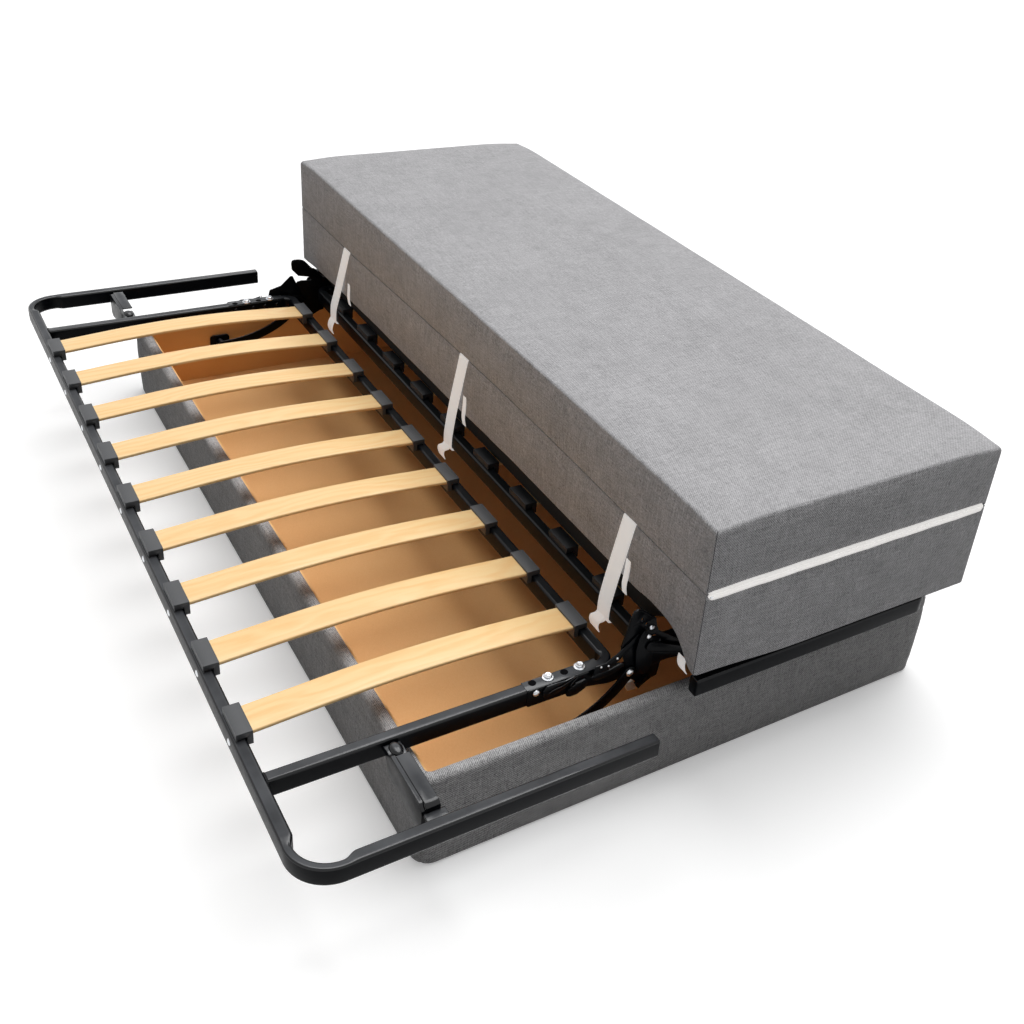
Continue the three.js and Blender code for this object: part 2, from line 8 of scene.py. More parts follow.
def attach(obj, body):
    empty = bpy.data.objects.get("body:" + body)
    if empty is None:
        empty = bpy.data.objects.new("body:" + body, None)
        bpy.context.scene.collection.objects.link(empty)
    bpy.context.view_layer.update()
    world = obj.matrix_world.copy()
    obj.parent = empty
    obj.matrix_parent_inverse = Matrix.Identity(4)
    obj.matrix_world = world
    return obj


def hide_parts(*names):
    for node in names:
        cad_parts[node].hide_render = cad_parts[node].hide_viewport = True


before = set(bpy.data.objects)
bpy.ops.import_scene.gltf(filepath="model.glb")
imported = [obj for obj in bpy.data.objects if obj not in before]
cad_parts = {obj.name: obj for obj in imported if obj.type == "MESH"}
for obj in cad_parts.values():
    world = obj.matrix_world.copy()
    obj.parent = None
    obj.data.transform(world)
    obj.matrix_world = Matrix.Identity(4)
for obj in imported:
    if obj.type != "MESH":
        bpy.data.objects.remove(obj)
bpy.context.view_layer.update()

# Pieces are drawn in millimetres from the line between the two sections, then moved into the frame
mm = 0.001
centreLine = -18


def inFrame(p):
    return Vector((p[0] * mm, (p[1] + centreLine) * mm, p[2] * mm))


def addObject(name, data):
    thing = bpy.data.objects.new(name, data)
    bpy.context.scene.collection.objects.link(thing)
    return thing


# Camera

cameraValues = {
    "place": (2.2196, -1.0749, 1.7055),
    "azimuth": 54.29, "elevation": 30.37, "roll": 6.61,
    "lens": 41.78, "sensor": 36,
    "shift": (-0.1025, -0.0666),
}


def placeCamera(v):
    turn, rise, roll = (math.radians(v[key]) for key in ("azimuth", "elevation", "roll"))
    back = Vector((math.sin(turn) * math.cos(rise), -math.cos(turn) * math.cos(rise), math.sin(rise)))
    right = (-back).cross(Vector((0, 0, 1))).normalized()
    up = right.cross(-back)
    across = math.cos(roll) * right + math.sin(roll) * up
    upright = math.cos(roll) * up - math.sin(roll) * right
    data = bpy.data.cameras.new("camera")
    data.lens = v["lens"]
    data.sensor_width = v["sensor"]
    data.sensor_fit = "HORIZONTAL"
    data.shift_x, data.shift_y = v["shift"]
    camera = addObject("camera", data)
    axes = Matrix((across, upright, back)).transposed().to_4x4()
    camera.matrix_world = Matrix.Translation(v["place"]) @ axes
    bpy.context.scene.camera = camera


placeCamera(cameraValues)
print("camera placed")


# Shader sums: a Value is a node's output that takes part in Python expressions

class Value:
    def __init__(self, paint, socket):
        self.paint = paint
        self.socket = socket

    def sum(self, operation, *terms):
        return self.paint.node("ShaderNodeMath", {"operation": operation}, dict(enumerate(terms)))

    def __add__(self, other):
        return self.sum("ADD", self, other)

    def __radd__(self, other):
        return self.sum("ADD", other, self)

    def __sub__(self, other):
        return self.sum("SUBTRACT", self, other)

    def __rsub__(self, other):
        return self.sum("SUBTRACT", other, self)

    def __mul__(self, other):
        return self.sum("MULTIPLY", self, other)

    def __rmul__(self, other):
        return self.sum("MULTIPLY", other, self)

    def __gt__(self, other):
        return self.sum("GREATER_THAN", self, other)

    def __abs__(self):
        return self.sum("ABSOLUTE", self)

    def sine(self):
        return self.sum("SINE", self)

    def atMost(self, other):
        return self.sum("MINIMUM", self, other)

    def atLeast(self, other):
        return self.sum("MAXIMUM", self, other)


class Paint:
    # the node tree of a material or of the world
    def __init__(self, owner):
        owner.use_nodes = True
        self.owner = owner
        self.tree = owner.node_tree
        self.tree.nodes.clear()

    def node(self, kind, settings=None, sockets=None, output=0):
        made = self.tree.nodes.new(kind)
        for key, value in (settings or {}).items():
            if key == "stops":
                for _ in value[2:]:
                    made.color_ramp.elements.new(0.5)
                for element, (position, colour) in zip(made.color_ramp.elements, value):
                    element.position = position
                    element.color = (*colour, 1)
            else:
                setattr(made, key, value)
        for key, value in (sockets or {}).items():
            socket = made.inputs[key]
            if isinstance(value, Value):
                self.tree.links.new(value.socket, socket)
            else:
                socket.default_value = (*value, 1) if socket.type == "RGBA" else value
        return Value(self, made.outputs[output]) if made.outputs else None

    def place(self):
        return self.node("ShaderNodeTexCoord", output="Object")

    def facing(self):
        return self.node("ShaderNodeTexCoord", output="Normal")

    def marked(self, name):
        return self.node("ShaderNodeAttribute", {"attribute_name": name}, output="Fac")

    def apart(self, vector):
        split = self.node("ShaderNodeSeparateXYZ", None, {0: vector}).socket.node
        return [Value(self, output) for output in split.outputs]

    def vector(self, x, y, z):
        return self.node("ShaderNodeCombineXYZ", None, {0: x, 1: y, 2: z})

    def stretched(self, vector, scale):
        return self.node("ShaderNodeVectorMath", {"operation": "MULTIPLY"}, {0: vector, 1: scale})

    def noise(self, vector, scale, detail=2.0, roughness=0.5, distortion=0.0):
        return self.node("ShaderNodeTexNoise", None, {
            "Vector": vector, "Scale": scale, "Detail": detail,
            "Roughness": roughness, "Distortion": distortion})

    def mix(self, factor, first, second):
        return self.node("ShaderNodeMix", {"data_type": "RGBA"}, {0: factor, 6: first, 7: second}, output=2)

    def between(self, value, low, high, least=0.0, most=1.0):
        return self.node("ShaderNodeMapRange", None, {0: value, 1: low, 2: high, 3: least, 4: most})

    def rough(self, mottle, smooth, dull):
        return self.between(mottle, 0.3, 0.7, smooth, dull)

    def bump(self, height, strength, distance):
        return self.node("ShaderNodeBump", None, {
            "Height": height, "Strength": strength, "Distance": distance})

    def finish(self, sockets):
        surface = self.node("ShaderNodeBsdfPrincipled", None, sockets)
        self.node("ShaderNodeOutputMaterial", None, {0: surface})
        return self.owner


def newPaint(name):
    return Paint(bpy.data.materials.new(name))


# Materials

paintValues = {
    # top is the lighter grey of a painted reflection on flat tops, side the near-black paint
    "side": (0.0022, 0.0028, 0.0042), "top": (0.108, 0.112, 0.120),
    "reflectionStreaks": 1.15,
    "mattressShadeFade": (-0.074, -0.110),     # behind this line the paint is darkened, painted shade under the mattress
    "peel": 900,
    "roughness": (0.30, 0.42), "coatRoughness": 0.11,
}


def steelPaint(v):
    p = newPaint("satinBlackPowderCoat")
    at = p.place()
    rising = p.apart(p.facing())[2]
    tilt = abs(rising)
    cloud = p.noise(at, 11, 3, 0.55)
    peel = p.noise(at, v["peel"], 2)
    smear = p.noise(p.stretched(at, (30, 30, 30)), 1.6, 4, 0.6)
    flat = p.between(rising, 0.90, 0.995)     # flat tops get a lighter grey, a painted reflection; edges stay black
    # unshaded is 1 in front, out of the mattress's painted shade, and 0 under it
    unshaded = p.between(p.apart(at)[1], *v["mattressShadeFade"])
    # painted reflection: flat tops lighter in streaks, dimmed under the mattress as painted shade
    shade = flat * (cloud * v["reflectionStreaks"]).atMost(1) * (unshaded * 0.85 + 0.15)
    edge = p.between(tilt, 0.12, 0.40) * p.between(tilt, 0.999, 0.985)
    return p.finish({
        "Base Color": p.mix(shade, v["side"], v["top"]),
        "Roughness": p.rough(smear, *v["roughness"]),
        "Specular IOR Level": 0.05,
        "Coat Weight": edge * (unshaded * 0.32 + 0.30) + smear * 0.08,
        "Coat Roughness": v["coatRoughness"],
        "Normal": p.bump(peel, 0.10, 0.0004),
    })


linenValues = {
    # stitch is the near-black laid on the corner seams, painted shade in their crease
    "thread": 0.0042, "stitch": (0.03, 0.03, 0.03),
    "mattress": {"dark": (0.147, 0.145, 0.150), "light": (0.758, 0.750, 0.768), "tint": 0.15, "calm": 0.75},
    # the base's linen is set darker than the mattress's
    "base": {"dark": (0.118, 0.116, 0.117), "light": (0.652, 0.644, 0.648), "tint": 0.24, "calm": -0.3},
}


def linen(name, v, shades):
    p = newPaint(name)
    at = p.place()
    x, y, z = p.apart(at)
    sideways, _, rising = p.apart(p.facing())
    onEnd = abs(sideways) > 0.7
    onTop = abs(rising) > 0.7
    u = x + onEnd * (y - x)
    across = z + onTop * (y - z)
    step = 2 * math.pi / v["thread"]
    drift = p.noise(at, 34, 3, 0.6) * 3.2
    ribs = ((u + across * 0.9) * step + drift).sine()
    crossed = ((u - across) * (0.62 * step) + drift).sine()
    weave = ribs * 0.62 + ribs * crossed * 0.38
    warp = p.noise(p.vector(u * 420, across * 26, x * 3), 1, 3, 0.6)
    weft = p.noise(p.vector(u * 26, across * 420, y * 3), 1, 3, 0.6)
    cloud = p.noise(at, 3.5, 4, 0.55)
    patch = p.noise(at, 16, 3, 0.6)
    fleck = p.noise(at, 300, 2, 0.7)
    threads = (warp + weft - 1) * 0.55
    texture = threads * 0.62 + weave * 0.165 + (fleck - 0.5) * 0.55 + (patch - 0.5) * 0.12
    shade = texture * (2.15 - onTop * shades["calm"]) + (cloud - 0.5) * shades["tint"] + 0.48
    cloth = p.mix(shade.atLeast(0).atMost(1), shades["dark"], shades["light"])
    # painted shade: the sunk corner seams are laid near-black
    seamShade = p.between(p.marked("seam"), 0.25, 0.9, 0, 0.82)
    height = weave * 0.7 + threads * 1.4 + fleck * 0.5
    return p.finish({
        "Base Color": p.mix(seamShade, cloth, v["stitch"]),
        "Roughness": p.rough(fleck, 0.86, 0.97),
        "Specular IOR Level": 0.2,
        "Sheen Weight": 0.08,
        "Sheen Roughness": 0.45,
        "Normal": p.bump(height, 0.55, 0.0008),
    })


def undersideCloth():
    # near-black for the downward faces of the mattress's lower half
    p = newPaint("nearBlackUnderside")
    at = p.place()
    x, y, _ = p.apart(at)
    net = (x * 2400).sine() * (y * 2400).sine()
    fluff = p.noise(at, 420, 3, 0.7)
    return p.finish({
        "Base Color": p.mix(net * 0.3 + fluff, (0.004, 0.004, 0.004), (0.013, 0.012, 0.011)),
        "Roughness": p.rough(fluff, 0.85, 0.98),
        "Specular IOR Level": 0.15,
        "Normal": p.bump(net + fluff, 0.3, 0.0004),
    })


birchValues = {
    "pale": (0.98, 0.690, 0.340),
    "grain": (0.92, 0.545, 0.212),
    "edge": (0.84, 0.50, 0.19),
}


def birchPly(v):
    p = newPaint("lacqueredBirchPly")
    x, y, z = p.apart(p.place())
    drift = p.noise(p.vector(x * 9, y * 2.2, z * 4), 1, 3, 0.55)
    rings = (x * 260 + drift * 52 + y * 4).sine() * 0.5 + 0.5
    flame = p.noise(p.vector(x * 55, y * 4, z * 20), 1, 4, 0.6, 0.6)
    pores = p.noise(p.vector(x * 1500, y * 60, z * 300), 1, 2, 0.6)
    tone = rings * 0.22 + flame * 0.62 + (pores - 0.5) * 0.30
    face = p.mix(p.between(tone, 0.30, 0.78), v["pale"], v["grain"])
    across = p.marked("across")     # runs from -1 under the slat to 1 on its top
    # darker towards the bottom: the lower edge and the underside take the edge colour
    low = p.between(across, -0.35, -0.95)
    plies = ((across * 14).sine() * 0.5 + 0.5) * (1 - p.between(abs(across), 0.86, 1.0))
    return p.finish({
        "Base Color": p.mix(low * 0.75 + plies * 0.18, face, v["edge"]),
        "Roughness": p.rough(flame, 0.30, 0.42),
        "Specular IOR Level": 0.4,
        "Coat Weight": 0.08,
        "Coat Roughness": 0.25,
        "Normal": p.bump(pores, 0.08, 0.0003),
    })


plasticValues = {
    # shaded is painted shade for caps under the mattress; unshaded caps out in front are lighter
    "shaded": (0.012, 0.0125, 0.014), "unshaded": ((0.048, 0.050, 0.054), (0.076, 0.078, 0.083)),
    "mattressShadeFade": (0.004, -0.022),
}


def blackPlastic(v):
    p = newPaint("grainedBlackPlastic")
    at = p.place()
    grain = p.noise(at, 1400, 2, 0.6)
    cloud = p.noise(at, 24, 3)
    # painted shade: caps under the mattress take the near-black shaded colour
    unshaded = p.between(p.apart(at)[1], *v["mattressShadeFade"])
    return p.finish({
        "Base Color": p.mix(unshaded, v["shaded"], p.mix(cloud, *v["unshaded"])),
        "Roughness": p.rough(cloud, 0.42, 0.54),
        "Specular IOR Level": 0.42,
        "Normal": p.bump(grain, 0.22, 0.0004),
    })


boardStops = [(0.30, (0.76, 0.410, 0.148)), (0.52, (0.86, 0.498, 0.203)), (0.75, (0.92, 0.585, 0.272))]


def hardboard(stops):
    p = newPaint("brownHardboard")
    at = p.place()
    cloud = p.noise(at, 2.6, 4, 0.6)
    fibre = p.noise(p.stretched(at, (60, 160, 160)), 3, 4, 0.65)
    speck = p.noise(at, 900, 2, 0.6)
    tone = cloud * 0.5 + fibre * 0.35 + speck * 0.15
    return p.finish({
        "Base Color": p.node("ShaderNodeValToRGB", {"stops": stops}, {0: tone}),
        "Roughness": p.rough(cloud, 0.46, 0.62),
        "Specular IOR Level": 0.35,
        "Normal": p.bump(fibre, 0.10, 0.0005),
    })


tapeValues = {
    "dark": (0.70, 0.68, 0.655), "light": (0.86, 0.85, 0.835),
    # lit are the colours of the tape's painted glow
    "lit": ((0.93, 0.90, 0.87), (1.0, 0.985, 0.97)),
    "rib": 0.0021, "pick": 0.0016,
}


def cottonTape(name, hangs, glow, v):
    # glow is painted light: the white tape glows, so it stays bright on faces in shade
    p = newPaint(name)
    at = p.place()
    x, y, z = p.apart(at)
    across, along = (x, y + z) if hangs else (y, x)
    ribs = (across * (2 * math.pi / v["rib"])).sine()
    picks = (along * (2 * math.pi / v["pick"])).sine()
    cloud = p.noise(at, 30, 3)
    fleck = p.noise(at, 700, 2)
    tone = ribs * 0.16 + picks * 0.08 + cloud * 0.5 + fleck * 0.35
    return p.finish({
        "Base Color": p.mix(p.between(tone, 0.1, 0.8), v["dark"], v["light"]),
        "Roughness": p.rough(fleck, 0.82, 0.95),
        "Specular IOR Level": 0.25,
        "Sheen Weight": 0.3,
        "Emission Color": p.mix(cloud, *v["lit"]),
        "Emission Strength": glow,
        "Normal": p.bump(ribs * 0.6 + picks * 0.3, 0.4, 0.0004),
    })


def zincPlate():
    p = newPaint("zincPlatedSteel")
    at = p.place()
    cloud = p.noise(at, 160, 3)
    scratch = p.noise(p.stretched(at, (300, 2600, 900)), 1, 2)
    return p.finish({
        "Base Color": p.mix(cloud, (0.55, 0.57, 0.60), (0.82, 0.83, 0.85)),
        "Metallic": 1.0,
        "Roughness": p.rough(scratch, 0.20, 0.40),
        "Normal": p.bump(scratch, 0.12, 0.0003),
    })


def cloudyPlastic():
    p = newPaint("cloudyPlastic")
    cloud = p.noise(p.place(), 120, 3)
    return p.finish({
        "Base Color": p.mix(cloud, (0.62, 0.60, 0.56), (0.78, 0.76, 0.72)),
        "Roughness": p.rough(cloud, 0.35, 0.5),
        "Transmission Weight": 0.35,
        "Normal": p.bump(cloud, 0.1, 0.0005),
    })


def holeShadePaint():
    # near-black discs, painted shade where the bolt holes look dark inside
    p = newPaint("paintedHoleShade")
    depth = p.noise(p.place(), 400, 2)
    return p.finish({
        "Base Color": p.mix(depth, (0.0015, 0.0015, 0.002), (0.004, 0.004, 0.005)),
        "Roughness": 0.9,
        "Specular IOR Level": 0.05,
    })


steel = steelPaint(paintValues)
mattressLinen = linen("greyMattressLinen", linenValues, linenValues["mattress"])
baseLinen = linen("greyBaseLinen", linenValues, linenValues["base"])
underCloth = undersideCloth()
birch = birchPly(birchValues)
plastic = blackPlastic(plasticValues)
board = hardboard(boardStops)
strapTape = cottonTape("ecruStrapTape", True, 0.40, tapeValues)
zipTape = cottonTape("whiteZipTape", False, 0.52, tapeValues)
zinc = zincPlate()
paleGuide = cloudyPlastic()
holeShade = holeShadePaint()
print("materials made")


# Outlines and lines

def arc(centre, radius, first, last, steps, tall=None):
    # from one angle to another in degrees, on an oval where tall is given
    turns = [math.radians(first + (last - first) * k / steps) for k in range(steps + 1)]
    return [(centre[0] + radius * math.cos(a), centre[1] + (tall or radius) * math.sin(a)) for a in turns]


def oval(centre, wide, tall=None, steps=16):
    return arc(centre, wide / 2, 0, 360, steps, (tall or wide) / 2)[:-1]


def roundedOutline(corners, steps=4):
    # corners are (a, b, radius), and each is turned on its radius
    outline = []
    for (a, b, radius), last, following in zip(corners, corners[-1:] + corners, corners[1:] + corners[:1]):
        here = Vector((a, b))
        before = (Vector(last[:2]) - here).normalized()
        after = (Vector(following[:2]) - here).normalized()
        half = before.angle(after) / 2
        centre = here + (before + after).normalized() * (radius / math.sin(half))
        start, end = (here + way * (radius / math.tan(half)) - centre for way in (before, after))
        first = math.degrees(math.atan2(start.y, start.x))
        sweep = math.degrees(math.atan2(end.y, end.x)) - first
        outline += arc(centre, radius, first, first + (sweep + 180) % 360 - 180, steps)
    return outline


def roundedBox(width, height, radius, steps=4):
    a, b = width / 2, height / 2
    return roundedOutline([(-a, -b, radius), (a, -b, radius), (a, b, radius), (-a, b, radius)], steps)


def softened(points, radius):
    return roundedOutline([(a, b, radius) for a, b in points], 3)


def headings(path):
    # the way that a line goes at each of its points
    points = [Vector(p) for p in path]
    return [(after - before).normalized()
            for before, after in zip(points[:1] + points, points[1:] + points[-1:])]


def smoothPath(points, steps=6):
    path = []
    padded = [points[0], *points, points[-1]]
    for four in zip(padded, padded[1:], padded[2:], padded[3:]):
        for t in (k / steps for k in range(steps)):
            path.append(tuple(
                0.5 * (2 * b + (c - a) * t + (2 * a - 5 * b + 4 * c - d) * t * t
                       + (3 * b - a - 3 * c + d) * t ** 3) for a, b, c, d in zip(*four)))
    return path + [points[-1]]


def smoothStep(value):
    value = min(1, max(0, value))
    return value * value * (3 - 2 * value)


# Shapes, each a list of points and a list of faces

def joined(*shapes):
    points, faces = [], []
    for shapePoints, shapeFaces in shapes:
        start = len(points)
        points += shapePoints
        faces += [tuple(start + k for k in face) for face in shapeFaces]
    return points, faces


def mirrored(shape, axis="x"):
    across, along = (-1, 1) if axis == "x" else (1, -1)
    points, faces = shape
    return [(x * across, y * along, z) for x, y, z in points], [tuple(reversed(face)) for face in faces]


def moved(shape, dx=0, dy=0, dz=0):
    points, faces = shape
    return [(x + dx, y + dy, z + dz) for x, y, z in points], faces


def loft(rings, closed=False):
    count, size = len(rings), len(rings[0])
    points = [p for ring in rings for p in ring]
    faces = []
    for i in range(count if closed else count - 1):
        here, there = i * size, ((i + 1) % count) * size
        for j in range(size):
            k = (j + 1) % size
            faces.append((here + j, here + k, there + k, there + j))
    if not closed:
        faces.append(tuple(reversed(range(size))))
        faces.append(tuple(range((count - 1) * size, count * size)))
    return points, faces


def onAxis(axis, along, a, b):
    return {"x": (along, a, b), "y": (a, along, b), "z": (a, b, along)}[axis]


def plate(outline, axis, near, depth):
    # a flat outline given depth along x, as (y, z), or along y, as (x, z)
    return loft([[onAxis(axis, at, a, b) for a, b in outline] for at in (near, near + depth)])


def cutPlate(outlines, near, depth):
    # flat (y, z) outlines, the later ones cut out of the first, given depth along x
    curve = bpy.data.curves.new("cut", "CURVE")
    curve.dimensions = "2D"
    curve.fill_mode = "BOTH"
    curve.extrude = depth / 2
    for outline in outlines:
        line = curve.splines.new("POLY")
        line.points.add(len(outline) - 1)
        for point, (a, b) in zip(line.points, outline):
            point.co = (a, b, 0, 1)
        line.use_cyclic_u = True
    made = addObject("cut", curve)
    mesh = bpy.data.meshes.new_from_object(made.evaluated_get(bpy.context.evaluated_depsgraph_get()))
    shape = ([(near + depth / 2 + p.co.z, p.co.x, p.co.y) for p in mesh.vertices],
             [tuple(face.vertices) for face in mesh.polygons])
    bpy.data.objects.remove(made)
    bpy.data.curves.remove(curve)
    bpy.data.meshes.remove(mesh)
    return shape


def rod(path, radius, sides=8):
    rings = []
    for here, way in zip(path, headings(path)):
        aside = way.cross(Vector((1, 0, 0)))
        if aside.length <= 0.1:
            aside = way.cross(Vector((0, 0, 1)))
        aside.normalize()
        over = way.cross(aside)
        rings.append([tuple(Vector(here) + aside * a + over * b)
                      for a, b in oval((0, 0), 2 * radius, steps=sides)])
    return loft(rings)


def ribbon(path, width, thickness):
    # a tape that keeps its width along x, with thicker edges and middle
    section = [(-1, 0), (-0.97, 1), (-0.5, 1.15), (0, 1), (0.5, 1.15), (0.97, 1),
               (1, 0), (0.97, -1), (0.5, -0.85), (0, -1), (-0.5, -0.85), (-0.97, -1)]
    side = Vector((1, 0, 0))
    rings = []
    for here, way in zip(path, headings(path)):
        out = way.cross(side).normalized()
        rings.append([tuple(Vector(here) + side * (a * width / 2) + out * (b * thickness / 2))
                      for a, b in section])
    return loft(rings)


def turned(profile, axis, centre, sides=20):
    # a profile of (radius, along) turned round an axis through centre
    size = len(profile)
    points = []
    for c, s in oval((0, 0), 2, steps=sides):
        for radius, along in profile:
            spot = onAxis(axis, along, radius * c, radius * s)
            points.append(tuple(middle + part for middle, part in zip(centre, spot)))
    faces = []
    for i in range(sides):
        here, there = i * size, ((i + 1) % sides) * size
        faces += [(here + j, here + j + 1, there + j + 1, there + j) for j in range(size - 1)]
    faces.append(tuple(i * size for i in range(sides)))
    faces.append(tuple(i * size + size - 1 for i in reversed(range(sides))))
    return points, faces


def domedRivet(radius, height, axis, centre, facing=1):
    dome = [math.radians(a) for a in (0, 20, 40, 58, 74, 84)]
    profile = [(radius * math.cos(a), facing * height * math.sin(a)) for a in dome]
    return turned([(radius, -facing * 0.4)] + profile, axis, centre, 18)


# Pieces

def newPiece(name, shape):
    mesh = bpy.data.meshes.new(name)
    mesh.from_pydata([inFrame(p) for p in shape[0]], [], shape[1])
    return addObject(name, mesh)


def bakeModifiers(piece):
    depsgraph = bpy.context.evaluated_depsgraph_get()
    done = bpy.data.meshes.new_from_object(piece.evaluated_get(depsgraph))
    piece.modifiers.clear()
    old, piece.data = piece.data, done
    bpy.data.meshes.remove(old)


def dress(piece, material, body, replaces=()):
    piece.data.materials.clear()
    piece.data.materials.append(material)
    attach(piece, body)
    if replaces:
        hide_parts(*replaces)


def addPiece(name, shape, material, body, replaces=(), sharp=38, bevel=0):
    piece = newPiece(name, shape)
    work = bmesh.new()
    work.from_mesh(piece.data)
    bmesh.ops.remove_doubles(work, verts=work.verts, dist=1e-6)
    bmesh.ops.recalc_face_normals(work, faces=work.faces)
    work.to_mesh(piece.data)
    work.free()
    if bevel:
        rounding = piece.modifiers.new("rounding", "BEVEL")
        rounding.width = bevel * mm
        rounding.segments = 2
        rounding.limit_method = "ANGLE"
        rounding.angle_limit = math.radians(40)
        rounding.miter_outer = "MITER_ARC"
        bakeModifiers(piece)
    piece.data.shade_smooth()
    piece.data.set_sharp_from_angle(angle=math.radians(sharp))
    dress(piece, material, body, replaces)
    return piece


def addMark(piece, name, values):
    piece.data.attributes.new(name, "FLOAT", "POINT").data.foreach_set("value", values)


# Steel tubes

tubeValues = {
    "width": 24, "height": 38, "edge": 5.5,
    "level": 237,                # middle of the tubes
    "rearLift": 12,              # the rear section lies a little higher
    "hoopBend": 62, "railBend": 22, "rearBend": 15,
    "squeeze": 8.5, "dip": 1.6,  # how far a bend is pressed in at its inner side and on top
    "shoulder": 22,
    "endRound": [(0, 1.6), (0.5, 0.5), (1.7, 0)],
    "frontHalf": 1082, "rearHalf": 1000, "sideHalf": 875,
    "hoopRear": 708.5,           # outer face of the outer rails
    "innerRail": 31.5,
    "frontArm": 76, "rearArm": 59.5, "rearEnd": 634,
    "rearSplit": 380, "tie": 480, "tieDrop": 8, "tieSize": (32, 31, 4),
}
railTube = {**tubeValues, "squeeze": 2, "dip": 0.5, "shoulder": 9}
rearTube = {**railTube, "level": tubeValues["level"] + tubeValues["rearLift"]}
rearArmTube = {**rearTube, "shoulder": 6}


def tubeSection(v, inset):
    a, b, r = (size - inset for size in (v["width"] / 2, v["height"] / 2, v["edge"]))
    flat = [(a - r) * share for share in (0.5, 0, -0.5)]
    return (arc((a - r, b - r), r, 0, 90, 5) + [(x, b) for x in flat] + arc((r - a, b - r), r, 90, 180, 5)
            + arc((r - a, r - b), r, 180, 270, 5) + [(-x, -b) for x in flat]
            + arc((a - r, r - b), r, 270, 360, 5))


def bentTube(corners, bend, v):
    # stations hold the middle, the heading, how far it is pressed in, on which side, and the end's rounding
    points = [Vector(corner) for corner in corners]
    leave = (points[1] - points[0]).normalized()
    stations = [(points[0] + leave * along, leave, 0, 1, inset) for along, inset in v["endRound"]]
    for before, here, after in zip(points, points[1:], points[2:]):
        arrive, leave = (here - before).normalized(), (after - here).normalized()
        turn = math.atan2(arrive.x * leave.y - arrive.y * leave.x, arrive.dot(leave))
        sign = math.copysign(1, turn)
        start, end = (here + way * bend * math.tan(abs(turn) / 2) for way in (-arrive, leave))
        centre = start + Vector((-arrive.y, arrive.x)) * sign * bend
        for k in range(8):
            ahead = arrive * v["shoulder"] * (1 - k / 8)
            stations.append((start - ahead, arrive, smoothStep(k / 8), sign, 0))
        for k in range(19):
            swing = Matrix.Rotation(turn * k / 18, 2)
            stations.append((centre + swing @ (start - centre), swing @ arrive, 1, sign, 0))
        for k in range(1, 9):
            stations.append((end + leave * v["shoulder"] * k / 8, leave, smoothStep(1 - k / 8), sign, 0))
    stations += [(points[-1] - leave * along, leave, 0, 1, inset)
                 for along, inset in reversed(v["endRound"])]
    half = v["width"] / 2
    rings = []
    for at, heading, pinch, sign, inset in stations:
        ring = []
        for a, b in tubeSection(v, inset):
            inner = max(0, a * sign) / half
            shifted = a - sign * pinch * v["squeeze"] * inner ** 0.8
            high = b * (1 - 0.10 * pinch * inner)
            if b > 0:
                high -= pinch * v["dip"] * (1 - (a / half) ** 2)
            ring.append((at.x - heading.y * shifted, at.y + heading.x * shifted, v["level"] + high))
        rings.append(ring)
    return loft(rings)


def weldBead(x, y, v, radius=1.8):
    # a lumpy bead round a tube's end, where it meets the tube across
    outline = roundedBox(v["width"] - 0.5, v["height"] - 0.5, v["edge"], 5)
    rings = []
    for i, (a, b) in enumerate(outline):
        way = (Vector(outline[(i + 1) % len(outline)]) - Vector(outline[i - 1])).normalized()
        lump = radius * (1 + 0.12 * math.sin(i * 2.4))
        rings.append([(x + a + way.y * reach, y + deep, v["level"] + b - way.x * reach)
                      for reach, deep in oval((0, 0), 2 * lump, steps=6)])
    return loft(rings, closed=True)


def frontHoop(v):
    x, y = v["frontHalf"] - v["width"] / 2, v["width"] / 2 - v["hoopRear"]
    return bentTube([(-x, -v["frontArm"]), (-x, y), (x, y), (x, -v["frontArm"])], v["hoopBend"], v)


def frontRails(v):
    x, far = v["sideHalf"] - v["width"] / 2, v["width"] - v["hoopRear"]
    near = -v["innerRail"] - v["width"] / 2
    tube = bentTube([(-x, far + 0.3), (-x, near), (x, near), (x, far + 0.3)], v["railBend"], v)
    return joined(tube, *[weldBead(side * x, far, v) for side in (-1, 1)])


def rearRails(v):
    # one tube round the slats' ends, joined half way along its sides
    x, split = v["sideHalf"] - v["width"] / 2, v["rearSplit"]
    inner, outer = v["innerRail"] + v["width"] / 2, v["hoopRear"] - v["width"] / 2
    return joined(
        bentTube([(-x, split), (-x, inner), (x, inner), (x, split)], v["railBend"], v),
        bentTube([(x, split), (x, outer), (-x, outer), (-x, split)], v["railBend"], v))


def rearArms(v):
    side, x = v["sideHalf"], v["rearHalf"] - v["width"] / 2
    arm = bentTube([(x, v["rearArm"]), (x, v["rearEnd"]), (side - 2, v["rearEnd"])], v["rearBend"], v)
    tie = loft([[(at, v["tie"] + a, v["level"] - v["tieDrop"] + b) for a, b in roundedBox(*v["tieSize"])]
                for at in (side + 0.3, x)])
    return joined(arm, mirrored(arm), tie, mirrored(tie))


for name, shape, body, node in (
        ("frontHoop", frontHoop(tubeValues), "front_section", "front_hoop"),
        ("frontRails", frontRails(railTube), "front_section", "front_rail_frame"),
        ("rearArms", rearArms(rearArmTube), "rear_section", "rear_hoop"),
        ("rearRails", rearRails(rearTube), "rear_section", "rear_rail_frame")):
    addPiece(name, shape, steel, body, [node], sharp=50)
print("tubes bent")


# Slats and caps

